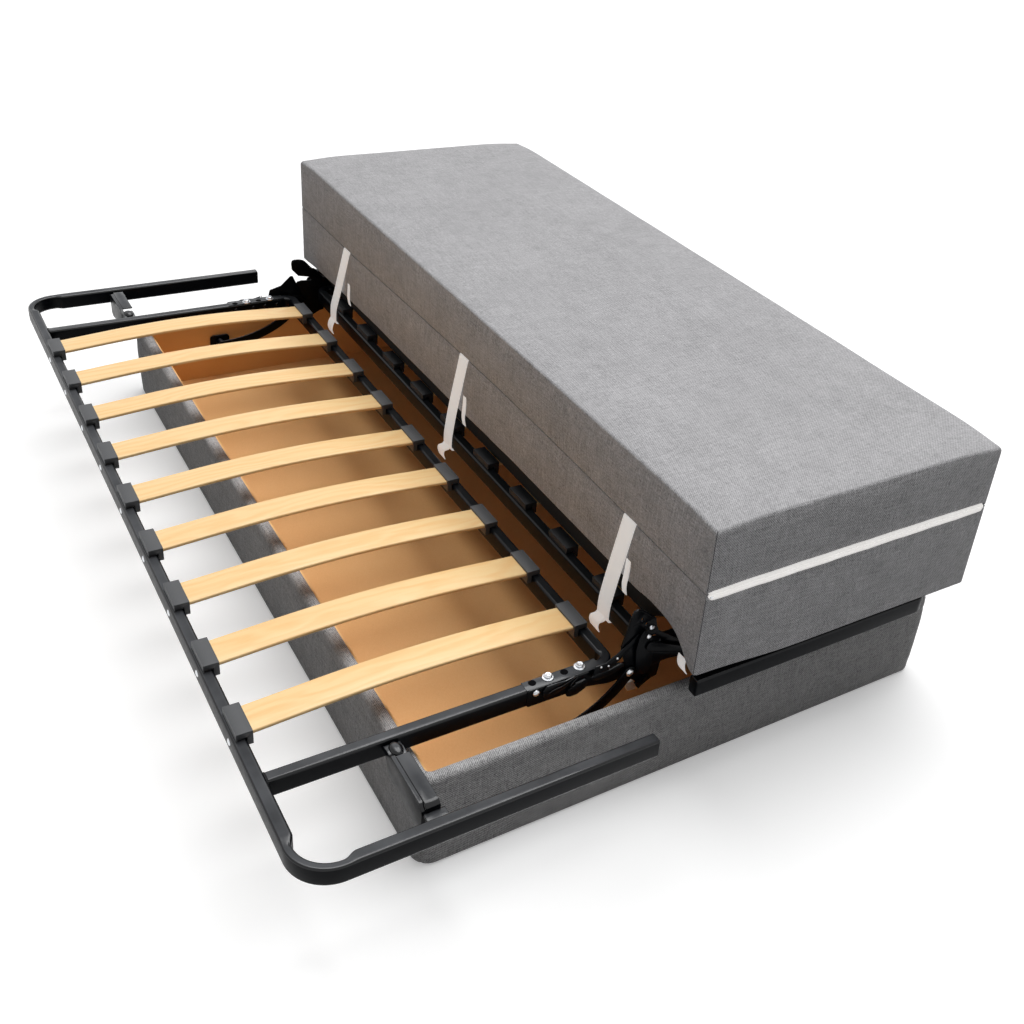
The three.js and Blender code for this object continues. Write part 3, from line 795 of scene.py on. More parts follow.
slatValues = {
    "count": 9, "width": 66, "thickness": 8, "edge": 3.1,
    "low": 257.8, "crown": 16, "bow": 1.35,
    "far": -699.2, "near": -40.8,
    "frontMargin": 139, "rearMargin": 171,
    "rivet": 6.5, "rivetDome": 2.4, "rivetAside": 14, "rivetRise": 3,
}
capValues = {
    "width": 74, "wall": 3.4, "bevel": 0.9,
    "back": -702.5, "lipEnd": -700.3, "railTop": -685.6, "railFace": -684.2, "mouth": -674.5,
    "low": 256.3, "pocket": 256.5, "high": 271.4, "hollow": 262.0, "leg": 243.5,
}


def slatPlaces(margin):
    last = slatValues["count"] - 1
    pitch = 2 * (tubeValues["sideHalf"] - margin) / last
    return [(k - last / 2) * pitch for k in range(last + 1)]


def slatShape(v, lift, steps=36):
    # a slat that lies on the lifted rails is pressed that much flatter
    section = roundedBox(v["width"], v["thickness"], v["edge"], 3)
    crown, reach = v["crown"] - lift, (v["near"] - v["far"]) / 2
    rings = []
    for share in (2 * k / steps - 1 for k in range(steps + 1)):
        rise, ahead, behind = (crown * (1 - at * at) ** v["bow"]
                               for at in (share, min(1, share + 0.01), max(-1, share - 0.01)))
        span = min(1, share + 0.01) - max(-1, share - 0.01)
        lean = math.atan((ahead - behind) / span / reach)
        y = (v["far"] + v["near"]) / 2 + share * reach
        middle = v["low"] + lift + v["thickness"] / 2 + rise
        rings.append([(a, y - b * math.sin(lean), middle + b * math.cos(lean)) for a, b in section])
    return loft(rings), [b / (v["thickness"] / 2) for _ in rings for a, b in section]


def capShape(v):
    # closed side walls with the slat's pocket between them, over the rail's top
    half, inner = v["width"] / 2, v["width"] / 2 - v["wall"]
    rings = []
    for x, floor in ((-half, v["hollow"]), (-inner, v["hollow"]), (0.01 - inner, v["pocket"]),
                     (inner - 0.01, v["pocket"]), (inner, v["hollow"]), (half, v["hollow"])):
        rings.append([(x, a, b) for a, b in (
            (v["back"], v["low"]), (v["lipEnd"], v["low"]), (v["lipEnd"], floor), (v["railTop"], floor),
            (v["railFace"], floor), (v["railFace"], v["leg"]), (v["mouth"], v["leg"]),
            (v["mouth"], v["high"]), (v["back"], v["high"]))])
    return loft(rings)


def copyAside(source, name, dx):
    mesh = source.data.copy()
    mesh.transform(Matrix.Translation((dx * mm, 0, 0)))
    return addObject(name, mesh)


def slatRow(row, margin, body, lift):
    shape, across = slatShape(slatValues, lift)
    outer = moved(capShape(capValues), dz=lift)
    inner = moved(mirrored(outer, "y"), dy=-tubeValues["hoopRear"] - tubeValues["innerRail"])
    if row == "rear":
        shape, outer, inner = (mirrored(made, "y") for made in (shape, outer, inner))
    first, *others = slatPlaces(margin)
    slat = addPiece(f"{row}Slat_1", moved(shape, dx=first), birch, body, [f"{row}_slat_1"],
                    sharp=60)
    addMark(slat, "across", across)
    caps = []
    for end, made in (("outer", outer), ("inner", inner)):
        nodes = [f"front_slat_cap_1_{end}"] if row == "front" else []
        caps.append(addPiece(f"{row}Cap_1_{end}", moved(made, dx=first), plastic, body, nodes,
                             bevel=capValues["bevel"]))
    for k, x in enumerate(others, 2):
        again = copyAside(slat, f"{row}Slat_{k}", x - first)
        dress(again, birch, body, [f"{row}_slat_{k}"])
        for cap, end in zip(caps, ("outer", "inner")):
            nodes = [f"front_slat_cap_{k}_{end}"] if row == "front" else []
            dress(copyAside(cap, f"{row}Cap_{k}_{end}", x - first), plastic, body, nodes)


def capRivets(v, row, margin, body, level, facing):
    # domed heads on the outer rail's outer face, one a cap
    y, z = facing * tubeValues["hoopRear"], level + v["rivetRise"]
    heads = [domedRivet(v["rivet"], v["rivetDome"], "y", (x + v["rivetAside"], y, z), facing)
             for x in slatPlaces(margin)]
    addPiece(f"{row}CapRivets", joined(*heads), zinc, body)


slatRow("front", slatValues["frontMargin"], "front_section", 0)
slatRow("rear", slatValues["rearMargin"], "rear_section", tubeValues["rearLift"])
capRivets(slatValues, "front", slatValues["frontMargin"], "front_section", tubeValues["level"], -1)
capRivets(slatValues, "rear", slatValues["rearMargin"], "rear_section", rearTube["level"], 1)
print("slats laid")


# Base box

baseValues = {
    "half": 949, "front": -460.5, "rear": 733.5, "corner": 36,
    "height": 207, "wall": 27, "rim": 12, "foot": 9,
    "swell": 2.6, "crease": 34, "creaseDepth": 1.6, "seam": 3.2,
    "ripples": [(1.1, 0.011), (0.5, 0.035)],     # depth, and how close they lie
    "step": 24,
}


def baseSection(v):
    # (outward, height), from the inner foot up over the rolled rim and down the outer face
    r, f, top = v["rim"], v["foot"], v["height"] - v["rim"]
    section = [(-v["wall"], z) for z in (0.5, 60, 120, 170, 186, 192)]
    section += arc((r - v["wall"], top), r, 180, 90, 6)
    section += [(-r - 1.5, v["height"] + 0.5)]
    section += arc((-r, top), r, 90, 0, 9)
    for share in (1 - k / 40 for k in range(1, 41)):
        z = f + (top - f) * share
        dent = v["creaseDepth"] * math.exp(-((v["height"] - v["crease"] - z) / 4.5) ** 2)
        section.append((v["swell"] * 4 * share * (1 - share) - dent, z))
    return section + arc((-f, f), f, -15, -90, 5) + [(2 - v["wall"], 0)]


def baseShape(v):
    # stations round the walls hold the place, the way out, and how near a corner's middle it is
    r = v["corner"]
    x, low, high = v["half"] - r, v["front"] + r, v["rear"] - r
    centres = [Vector(p) for p in ((x, high), (-x, high), (-x, low), (x, low))]
    stations = []
    for way, before, centre in zip(((1, 0), (0, 1), (-1, 0), (0, -1)), centres[-1:] + centres, centres):
        out = Vector(way)
        count = round((centre - before).length / v["step"])
        stations += [(before.lerp(centre, k / count) + out * r, out, 0) for k in range(count)]
        for k in range(16):
            aside = Matrix.Rotation(math.radians(90 * k / 16), 2) @ out
            stations.append((centre + aside * r, aside, 1 - abs(k / 8 - 1)))
    rings = []
    for at, out, corner in stations:
        seam = v["seam"] if corner > 0.99 else 0
        ring = []
        for reach, z in baseSection(v):
            spot = Vector((at.x, at.y, z))
            ripple = sum(depth * noise.noise(spot * scale) for depth, scale in v["ripples"])
            firm = smoothStep(z / 30) * smoothStep((reach + 26) / 10)
            shift = out * (reach + ripple * firm - seam * (0.4 + 0.6 * firm))
            sunk = seam * 0.8 if reach < -3 and z > 190 else 0
            ring.append((at.x + shift.x, at.y + shift.y, z - sunk))
        rings.append(ring)
    return loft(rings, closed=True)


basePiece = addPiece("upholsteredBase", baseShape(baseValues), baseLinen, "base",
                     ["base_box"], sharp=60)
for node in ("base_liner", "base_bottom"):
    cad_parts[node].data.materials.clear()
    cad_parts[node].data.materials.append(board)
print("base covered")


# Mattress

mattressValues = {
    "half": 1000, "front": 44.5, "rear": 744.5,
    "lower": (282.1, 456.2), "upper": (456.6, 608.5),
    "grid": 26, "gridHigh": 20, "gridEdge": (0, 0.8, 2, 4, 7, 11, 18, 28),
    # how wide and how high each edge is rounded
    "corner": 4.5, "topEdge": (9, 11), "seamEdge": (3, 6), "footEdge": (4, 4), "endSeam": 11,
    "seamRise": (8, 18), "seamMiddle": 250, "seamReach": 900,
    # height of the lower half's front edge along x
    "lift": [(-1000, 306), (-889, 315), (-669, 326), (-400, 333), (0, 338), (200, 346), (300, 349),
             (880, 349), (927, 343), (954, 329), (967, 306), (985, 291), (1000, 288)],
    # along x: how far back the edge comes down, and to what height
    "sag": [(-1000, 110, 283), (-860, 110, 283), (-800, 72, 270), (815, 72, 270), (855, 112, 284),
            (930, 112, 284), (962, 56, 283), (1000, 52, 283)],
    "endFrom": 760, "endTo": 870, "endRest": 270.5,     # beyond the slats it hangs down to the arms
    "crown": 2.1, "droop": 6, "droopReach": 60, "cap": 3.5, "stitch": 2.4,
}
coverValues = {
    "quality": 5, "mass": 0.4, "tension_stiffness": 40, "compression_stiffness": 40, "bending_stiffness": 6,
    "use_pressure": True, "uniform_pressure_force": 4.0, "vertex_group_mass": "sewn",
}


def readOff(table, x, column=1):
    for left, right in zip(table, table[1:]):
        if x <= right[0]:
            share = smoothStep((x - left[0]) / (right[0] - left[0]))
            return left[column] + (right[column] - left[column]) * share
    return table[-1][column]


def gridLines(low, high, step, edge):
    first, last = low + edge[-1], high - edge[-1]
    count = max(1, round((last - first) / step))
    between = [first + (last - first) * k / count for k in range(1, count)]
    return sorted({*(low + d for d in edge), *(high - d for d in edge), *between})


def blockGrid(lines):
    # the six sides of a block, as cells (i, j, k) and faces that look outwards
    nx, ny, nz = (len(line) - 1 for line in lines)
    index = {}

    def at(i, j, k):
        return index.setdefault((i, j, k), len(index))

    faces = []
    for i in range(nx):
        for j in range(ny):
            faces.append((at(i, j, nz), at(i + 1, j, nz), at(i + 1, j + 1, nz), at(i, j + 1, nz)))
            faces.append((at(i, j, 0), at(i, j + 1, 0), at(i + 1, j + 1, 0), at(i + 1, j, 0)))
        for k in range(nz):
            faces.append((at(i, 0, k), at(i + 1, 0, k), at(i + 1, 0, k + 1), at(i, 0, k + 1)))
            faces.append((at(i, ny, k), at(i, ny, k + 1), at(i + 1, ny, k + 1), at(i + 1, ny, k)))
    for j in range(ny):
        for k in range(nz):
            faces.append((at(0, j, k), at(0, j, k + 1), at(0, j + 1, k + 1), at(0, j + 1, k)))
            faces.append((at(nx, j, k), at(nx, j + 1, k), at(nx, j + 1, k + 1), at(nx, j, k + 1)))
    return list(index), faces


def seamRise(x, v):
    low, high = v["seamRise"]
    reach = max(0, 1 - ((x - v["seamMiddle"]) / v["seamReach"]) ** 2)
    return low + high * reach ** 1.5


def footHeight(x, y, v):
    # how high the lower half's underside stands: lifted along the front edge, resting further back
    edge, rest = readOff(v["lift"], x), readOff(v["sag"], x, 2)
    depth, back = readOff(v["sag"], x) - v["front"], y - v["front"]
    if back < depth:
        return edge + (rest - edge) * back / depth
    beyond = smoothStep((abs(x) - v["endFrom"]) / (v["endTo"] - v["endFrom"]))
    low = v["lower"][0] + (v["endRest"] - v["lower"][0]) * beyond
    return rest + (low - rest) * smoothStep((back - depth) / (90 + 150 * beyond))


def foamShape(v, part):
    upper = part == "upper"
    low, high = v[part]
    topEdge, footEdge = (v["topEdge"], v["seamEdge"]) if upper else (v["seamEdge"], v["footEdge"])
    spans = ((-v["half"], v["half"]), (v["front"], v["rear"]), (low, high))
    lines = [gridLines(*span, step, v["gridEdge"])
             for span, step in zip(spans, (v["grid"], v["grid"], v["gridHigh"]))]
    middle = [(a + b) / 2 for a, b in spans]
    halves = [(b - a) / 2 for a, b in spans]
    cells, faces = blockGrid(lines)
    points, sewn, seams = [], [], []
    for cell in cells:
        raw = [line[k] - centre for line, k, centre in zip(lines, cell, middle)]
        edge = topEdge if raw[2] > 0 else footEdge
        zones = (v["topEdge"][0], v["topEdge"][0], max(edge))
        deep = [max(0, (abs(r) - half + zone) / zone) for r, half, zone in zip(raw, halves, zones)]
        length = math.hypot(*deep)
        flat = v["corner"] + (edge[0] - v["corner"]) * smoothStep(deep[2])
        x, y, z = (centre + (math.copysign(half - radius * (1 - d / length), r) if d > 0 else r)
                   for centre, half, radius, d, r in zip(middle, halves, (flat, flat, edge[1]), deep, raw))
        bend = v["endSeam"]
        fromSeam = z - low if upper else high - z
        if raw[0] > halves[0] - 1 and fromSeam < bend:
            x -= (bend - math.sqrt(bend ** 2 - (bend - fromSeam) ** 2)) * 0.9
        share = (z - low) / (high - low)
        if upper:
            away = math.dist([abs(r) for r in raw[:2]], halves[:2])
            crown = v["crown"] * (1 - (raw[0] / halves[0]) ** 2) * (1 - (raw[1] / halves[1]) ** 2)
            droop = v["droop"] * math.exp(-(away / v["droopReach"]) ** 2)
            z += seamRise(x, v) * (1 - share) + (crown - droop) * share
        else:
            foot = footHeight(x, y, v)
            z = foot + share * (high + seamRise(x, v) - foot)
        points.append((x, y, z))
        sewn.append(sum(d > 0.55 for d in deep) >= 2 or (not upper and share < 0.25))
        seams.append(float(abs(raw[0]) > halves[0] - 1 and abs(raw[1]) > halves[1] - 1))
    return (points, faces), sewn, seams


def swell(piece, sewn, v):
    # the cover is blown up a little against its seams, as the foam fills it
    group = piece.vertex_groups.new(name="sewn")
    group.add([k for k, held in enumerate(sewn) if held], 1, "REPLACE")
    cloth = piece.modifiers.new("cover", "CLOTH")
    for key, value in coverValues.items():
        setattr(cloth.settings, key, value)
    cloth.settings.effector_weights.gravity = 0
    cloth.collision_settings.use_collision = False
    cloth.collision_settings.use_self_collision = False
    for k in range(1, 21):
        bpy.context.scene.frame_set(k)
    depsgraph = bpy.context.evaluated_depsgraph_get()
    blown = [vertex.co.copy() for vertex in piece.evaluated_get(depsgraph).data.vertices]
    piece.modifiers.clear()
    bpy.context.scene.frame_set(1)
    limit = v["cap"] * mm
    for vertex, new in zip(piece.data.vertices, blown):
        step = new - vertex.co
        vertex.co += step * min(1, limit / max(step.length, limit))


def stitchSeams(piece, v):
    # corner seams sink below the cover, one point wide
    middle = inFrame((0, (v["front"] + v["rear"]) / 2, 0))
    for vertex, seam in zip(piece.data.vertices, piece.data.attributes["seam"].data):
        if seam.value > 0.3:
            toMiddle = middle - vertex.co
            inward = Vector((math.copysign(1, toMiddle.x), math.copysign(1, toMiddle.y), 0)).normalized()
            vertex.co += inward * v["stitch"] * seam.value * mm


def foamHalf(name, part, body, node):
    v = mattressValues
    shape, sewn, seams = foamShape(v, part)
    piece = newPiece(name, shape)
    swell(piece, sewn, v)
    for vertex in piece.data.vertices:
        at = vertex.co / mm
        slack = 0.9 * noise.noise(at * 0.006) + 0.35 * noise.noise(at * 0.02)
        vertex.co.z += slack * mm * (1 if part == "upper" and at.z > 560 else 0.3)
    addMark(piece, "seam", seams)
    finer = piece.modifiers.new("finer", "SUBSURF")
    finer.levels = 1
    bakeModifiers(piece)
    stitchSeams(piece, v)
    piece.data.shade_smooth()
    dress(piece, mattressLinen, body, [node])
    if part == "lower":
        # faces that look down take the near-black
        piece.data.materials.append(underCloth)
        for face in piece.data.polygons:
            face.material_index = 1 if face.normal.z < -0.3 else 0


foamHalf("mattressLower", "lower", "rear_section", "mattress_lower")
foamHalf("mattressUpper", "upper", "mattress_flap", "mattress_upper")
print("mattress filled")


# Zip: two folded lips of tape with the teeth's groove between them

zipValues = {
    "face": 989, "bulge": 13.6, "middle": 464.5, "height": 21, "front": 50, "rear": 738,
    # shares of the bulge and of the height
    "lipShares": [(0, -0.5), (0.62, -0.5), (0.86, -0.45), (0.97, -0.34), (1, -0.22), (0.97, -0.13),
                  (0.86, -0.08), (0.83, -0.045), (0.94, -0.02), (0.98, 0.05), (0.94, 0.11), (0.84, 0.13),
                  (0.82, 0.17), (0.92, 0.21), (0.97, 0.29), (0.95, 0.38), (0.84, 0.46), (0.60, 0.5),
                  (0, 0.5)],
    "slider": [(0.4, -3), (2.6, -2.6), (3.4, 0), (2.6, 2.6), (0.4, 3)], "sliderAt": (999.5, 55, 463),
}


def zipShape(v):
    rings = []
    for share in [0, 0.25, 0.6, 1.1, 1.8, 2.8] + [4 + 92 * k / 40 for k in range(41)] + [97.5, 98.8, 100]:
        y = v["front"] + (v["rear"] - v["front"]) * share / 100
        full = math.sqrt(max(0.03, 1 - max(0, 1 - min(share, 100 - share) / 1.6) ** 2))
        wave = 0.5 * math.sin(y * 0.055) + 0.25 * math.sin(y * 0.13)
        rings.append([(v["face"] + v["bulge"] * reach * (0.72 + 0.28 * full), y,
                       v["middle"] + v["height"] * up * full + wave) for reach, up in v["lipShares"]])
    return loft(rings)


addPiece("mattressZip", zipShape(zipValues), zipTape, "mattress_flap", ["mattress_zip"],
         sharp=70)
addPiece("zipSlider", turned(zipValues["slider"], "y", zipValues["sliderAt"], 12), zinc, "mattress_flap",
         sharp=60)


# Straps

strapValues = {
    "width": 42, "thickness": 1.5, "tailShare": 0.82, "backShare": 0.36,
    "top": 456,
    # x at the seam, at the rail and at the tail
    "strap_1": (-648, -722, -728), "strap_2": (62, 22, 4), "strap_3": (757, 727, 712),
    "scrap": [(944, 62, 284), (947, 58, 276), (951, 57, 267), (954, 60, 259)],
    "scrapWidth": 24, "scrapThickness": 1.4,
}


def strapShape(v, topX, railX, tailX):
    seam = v["top"] + seamRise(topX, mattressValues)
    quarter, low, last = (topX + (railX - topX) * share for share in (0.25, 0.7, 0.95))
    front = [(topX, 46, seam + 1), (topX, 43.2, seam - 3), (quarter, 40.5, seam - 50),
             (low, 34.5, seam - 140), (last, 30.6, 275), (railX, 29.6, 252), (railX, 29.9, 231),
             (railX, 33, 226.8), (railX + 2, 44, 226.2), (railX + 3, 54, 227)]
    tail = [(railX - 2, 30, 234), (railX - 6, 26.5, 225), (tailX, 22.5, 215), (tailX - 2, 22, 203),
            (tailX - 1, 25.5, 191)]
    back = [(topX + 15, 43.9, seam - 30), (topX + 14, 43.6, seam - 70), (topX + 12, 43, 360),
            (topX + 9, 43, 330), (topX + 8, 47, 308)]
    return joined(*[ribbon(smoothPath(path), v["width"] * share, v["thickness"])
                    for path, share in ((front, 1), (tail, v["tailShare"]), (back, v["backShare"]))])


for name in ("strap_1", "strap_2", "strap_3"):
    addPiece(f"pull_{name}", strapShape(strapValues, *strapValues[name]), strapTape, "rear_section",
             [name], sharp=70)
scrap = ribbon(smoothPath(strapValues["scrap"]), strapValues["scrapWidth"], strapValues["scrapThickness"])
addPiece("corner_tape", scrap, strapTape, "rear_section", sharp=70)
print("tapes sewn")


# Arm brackets, drawn for the right-hand side

bracketValues = {
    "near": 875.3, "outer": 1057.7, "front": -496, "width": 32, "cover": 25,
    "top": 261, "foot": 240, "skirt": 201, "round": 13, "thickness": 3.5,
    "clip": 40, "footReach": 20,
    "ribMiddle": (22, 17, 252.5), "ribHalf": (17, 12, 7.5),
}


def armBracket(v):
    near, far, front, top, low = (v[key] for key in ("near", "outer", "front", "top", "foot"))
    t, radius, skirt = v["thickness"], v["round"], v["skirt"]
    bend, clipped = far - v["footReach"], near + v["clip"]
    middle = (bend - radius, top - radius)
    cover = plate([
        (clipped + 3, top), (bend - radius, top), *arc(middle, radius, 80, 0, 8), (bend, low + t),
        (bend - t, low + t), *arc(middle, radius - t, 0, 80, 8), (bend - radius, top - t),
        (clipped + 3, top - t)], "y", front + v["width"] - v["cover"], v["cover"])
    lip = plate([(bend - t, low), (far, low), (far, low + t), (bend, low + t + 1.5), (bend - t, low + t)],
                "y", front + 2, v["width"] + 6)
    flange = plate(roundedOutline([
        (near + 16, low + 6, 3), (clipped - 8, skirt + 10, 8), (bend - radius, skirt - 8, 10),
        (bend - 1, skirt, 4), (bend - 1, top - radius, 12), (bend - radius, top - 1.2, 12),
        (clipped, top - 1.2, 2)]), "y", front - 0.5, 8)
    clip = plate(roundedOutline([
        (near, low, 1), (clipped + 5, low, 2), (clipped + 5, low + 12, 5), (near + 20, low + 14, 6),
        (near + 5, low + 10, 5), (near, low + 6, 1)]), "y", front + 1, v["width"] - 2)
    rib = []
    for angle in (math.pi * k / 8 for k in range(9)):
        scale = max(0.05, math.sin(angle))
        ring = oval((front + v["ribMiddle"][1], v["ribMiddle"][2]), 2 * v["ribHalf"][1] * scale,
                    2 * v["ribHalf"][2] * scale, 18)
        rib.append([(near + v["ribMiddle"][0] - v["ribHalf"][0] * math.cos(angle), a, b) for a, b in ring])
    return joined(cover, lip, flange, clip, loft(rib))


bracket = armBracket(bracketValues)
for ending, shape in (("right", bracket), ("left", mirrored(bracket))):
    addPiece(f"armBracket_{ending}", shape, steel, "front_section",
             [f"front_arm_bracket_{ending}"], bevel=1.1, sharp=45)
print("brackets fitted")


# Hinge mechanism, drawn for the right-hand end; the left-hand one, far, has its own hook, sheet and leaf

hingeValues = {
    # inner faces of the plates, from the rail outwards
    "railInside": 851.8, "frontFace": 875.3, "rearFace": 879.4, "armFace": 883.9, "leafFace": 889,
    "linkFace": 892.6, "wallFace": 911.5,
    "frontSheet": 1.5, "rearSheet": 3.4, "armSheet": 3.8, "leafSheet": 2.8, "linkSheet": 3.6,
    "wallSheet": 4,
    "pivot": (-10, 227), "lift": (26, 282), "anchor": (218, 186),
    "armFoot": (-240, 122), "armTurn": (-80, 128), "armWidth": 25, "linkWidth": 22,
    "bolts": (-106, -172), "boltHead": 11, "holes": (-138, -204), "hole": 7.4, "boltX": 860,
    "boltLevel": 257.6, "holeLevel": 256.7,
    "posts": {"near": (20, 306), "far": (18, 262)},     # between the rear sheet and its leaf
}
# (y, z) outlines, each with its corners' radius; both rear sheets share the edge below their heads
rearEdge = [(49, 303), (66, 290), (84, 276), (104, 258), (118, 240), (119, 215), (104, 221), (80, 225),
            (62, 224), (58, 192), (46, 190), (20, 176), (7, 197)]
pressings = {
    "pawl": (3, [(-193, 238), (-192, 248), (-184, 257), (-165, 257), (-146, 255), (-123, 260), (-128, 252),
                 (-145, 240), (-162, 232), (-189, 231)]),
    "catch": (4, [(-143, 218), (-141, 231), (-124, 241), (-104, 244), (-97, 233), (-104, 222), (-120, 214),
                  (-134, 214)]),
    "nearHook": (3, [(-92, 248), (-62, 252), (-40, 264), (-12, 290), (5, 309), (0, 315), (-18, 301),
                     (-44, 281), (-66, 270), (-88, 270)]),
    "farHook": (3, [(-104, 256), (-99, 275), (-66, 284), (-38, 309), (-31, 309), (-24, 292), (-4, 246),
                    (-20, 240)]),
    "tail": (4, [(-100, 246), (-84, 236), (-50, 238), (-22, 250), (-30, 258), (-58, 250), (-84, 252)]),
    "lug": (9, [(-266, 100), (-212, 100), (-212, 142), (-266, 142)]),
    "shelf": (8, [(198, 168), (238, 168), (238, 200), (198, 200)]),
    "nearRear": (4, [(-14, 367), (-4, 371), (12, 361), (26, 348), (38, 337), (42, 318), *rearEdge,
                     (-10, 212), (-17, 226), (-18, 240), (-29, 275), (-33, 292), (-25, 328)]),
    "farRear": (3, [(-31, 350), (-22, 356), (2, 351), (25, 325), (40, 318), *rearEdge, (-12, 208),
                    (-20, 240), (-24, 272), (-18, 288), (-4, 290), (26, 287), (19, 299), (-14, 306),
                    (-31, 326)]),
    "window": (4, [(31, 303), (45, 294), (62, 274), (37, 277)]),
    "nearLeaf": (6, [(14, 323), (26, 306), (34, 275), (36, 236), (26, 216), (8, 220), (-1, 243), (-5, 282),
                     (-1, 307), (6, 321)]),
    "farLeaf": (6, [(8, 281), (30, 279), (36, 236), (26, 216), (8, 220), (-1, 243), (-3, 272)]),
    "curl": (3, [(-31, 327), (-31, 350), (-22, 356), (2, 351), (21, 330), (10, 322), (-12, 331)]),
    "stop": (2, [(14, 178), (20, 187), (38, 204), (29, 204), (6, 194)]),
    "guide": (4, [(-10, 193), (-5, 174), (19, 171), (6, 197)]),
}
# (y, z) lines of the pawl's wire spring and of the rear plate's rolled edge
hingeLines = {
    "spring": [(-181, 241), (-168, 245), (-154, 247), (-138, 253), (-124, 259), (-122, 256), (-130, 248),
               (-136, 240), (-130, 237), (-118, 242), (-108, 238)],
    "nearCrest": [(-30, 284), (-30, 292), (-26, 312), (-22, 330), (-14, 360), (-4, 368), (12, 358),
                  (26, 345)],
    "farCrest": [(-30, 328), (-30, 349), (-22, 354), (2, 349), (24, 325), (38, 318)],
}


def pressedOutline(name):
    radius, points = pressings[name]
    return softened(points, radius)


def pressed(name, near, depth, *cuts):
    return cutPlate([pressedOutline(name), *cuts], near, depth)


def strip(path, width):
    # an outline of even width round a line, with round ends
    ways = headings(path)
    sides = [[tuple(Vector(here) + Vector((-way.y, way.x)) * (side * width / 2))
              for here, way in zip(path, ways)] for side in (1, -1)]
    headFirst, headLast = (math.degrees(math.atan2(way.y, way.x)) for way in (ways[0], ways[-1]))
    return (sides[1] + arc(path[-1], width / 2, headLast - 90, headLast + 90, 10)[1:-1] + sides[0][::-1]
            + arc(path[0], width / 2, headFirst + 90, headFirst + 270, 10)[1:-1])


def curvedLine(start, middle, end, steps=16):
    return [tuple((1 - t) ** 2 * Vector(start) + 2 * t * (1 - t) * Vector(middle) + t * t * Vector(end))
            for t in (k / steps for k in range(steps + 1))]


def frontPlate(v):
    # a flat sheet on the side rail, with the pawl, its catch and spring, and a hook that stands up
    face, arm, inside = v["frontFace"], v["armFace"], v["railInside"]
    y, z = v["pivot"]
    sheet = cutPlate([softened([
        (-222, 257), (-222, 219), (-96, 219), (-50, 209), (y, z - 19), (y + 17, z - 8), (y + 17, z + 8),
        (y + 2, z + 18), (-40, 252), (-88, 257)], 5)], face - 0.1, v["frontSheet"])
    top = plate([(-222, 255.5), (-70, 255.5), (-70, 256.7), (-222, 256.7)], "x", inside,
                face - inside - 0.7)
    pawl = pressed("pawl", face + 3.2, 2.4)
    catch = pressed("catch", face + 3.2, 3.4)
    hook = pressed("farHook", face + 1.5, 2.3) if v["far"] else pressed("nearHook", arm + 0.2, 2.3)
    tail = pressed("tail", arm + 0.6, 2.2)
    spring = rod(smoothPath([(face + 7, *p) for p in hingeLines["spring"]], 4), 0.8, 6)
    studs = [turned([(3.5, 0), (3.5, arm - face)], "x", (face + 1, y, 246)) for y in (-84, -52)]
    backs = [domedRivet(5, 2, "x", (inside - 0.8, y, 241), -1) for y in (-88, -122, -155, -204)]
    return joined(sheet, top, pawl, catch, hook, tail, spring, *studs, *backs)


def supportArm(v):
    # curved arm from the pivot down to its seat inside the base's end wall
    curve = curvedLine(v["armFoot"], v["armTurn"], v["pivot"])
    swing = cutPlate([strip(curve, v["armWidth"])], v["armFace"], v["armSheet"])
    boss = turned([(10.5, 0), (10.5, 27)], "x", (v["armFace"], *v["armFoot"]))
    lug = pressed("lug", v["wallFace"], v["wallSheet"], oval((-257, 109), 7), oval((-221, 109), 7))
    return joined(swing, boss, lug, pressed("shelf", v["wallFace"], v["wallSheet"]))


def swingLink(v):
    # straight bar from its stud low in the base up to the rear sheet
    face, front = v["linkFace"], v["frontFace"]
    bar = cutPlate([strip([v["anchor"], v["lift"]], v["linkWidth"])], face, v["linkSheet"])
    foot = turned([(6, 0), (6, 18)], "x", (face + 1, *v["anchor"]))
    head = turned([(6, 0), (6, face - front - 4)], "x", (front + 5, *v["lift"]))
    return joined(bar, foot, head)


def rearPlate(v):
    # tall sheet that carries the rear section, with a second leaf over it
    face, leafFace, front = v["rearFace"], v["leafFace"], v["frontFace"]
    end = "far" if v["far"] else "near"
    slots = [pressedOutline("window"), oval((6, 344), 5, 9), oval((17, 330), 5, 9)]
    sheet = pressed(f"{end}Rear", face, v["rearSheet"], *([] if v["far"] else slots))
    leaf = pressed(f"{end}Leaf", leafFace, v["leafSheet"])
    lip = rod(smoothPath([(face + 1.5, *p) for p in hingeLines[f"{end}Crest"]], 5), 2.4)
    stop = pressed("stop", face + 3.6, 6)
    post = turned([(4.4, 0), (4.4, leafFace - face + 1.5)], "x", (face + 2, *v["posts"][end]))
    feet = [turned([(5, 0), (5, face - front + 0.3)], "x", (front, y, 240)) for y in (66, 96)]
    curl = [pressed("curl", face - 2, 6)] if v["far"] else []
    return joined(sheet, leaf, lip, stop, post, *feet, *curl)


def boltHead(radius, centre):
    return turned([(3, -2), (radius - 0.6, -2), (radius, 0.8), (radius - 0.9, 1.8), (0.72 * radius, 2),
                   (0.70 * radius, 5.2), (0.55 * radius, 6.4), (0.3 * radius, 6.1), (0.26 * radius, 4.6),
                   (0.5, 4.5)], "z", centre, 24)


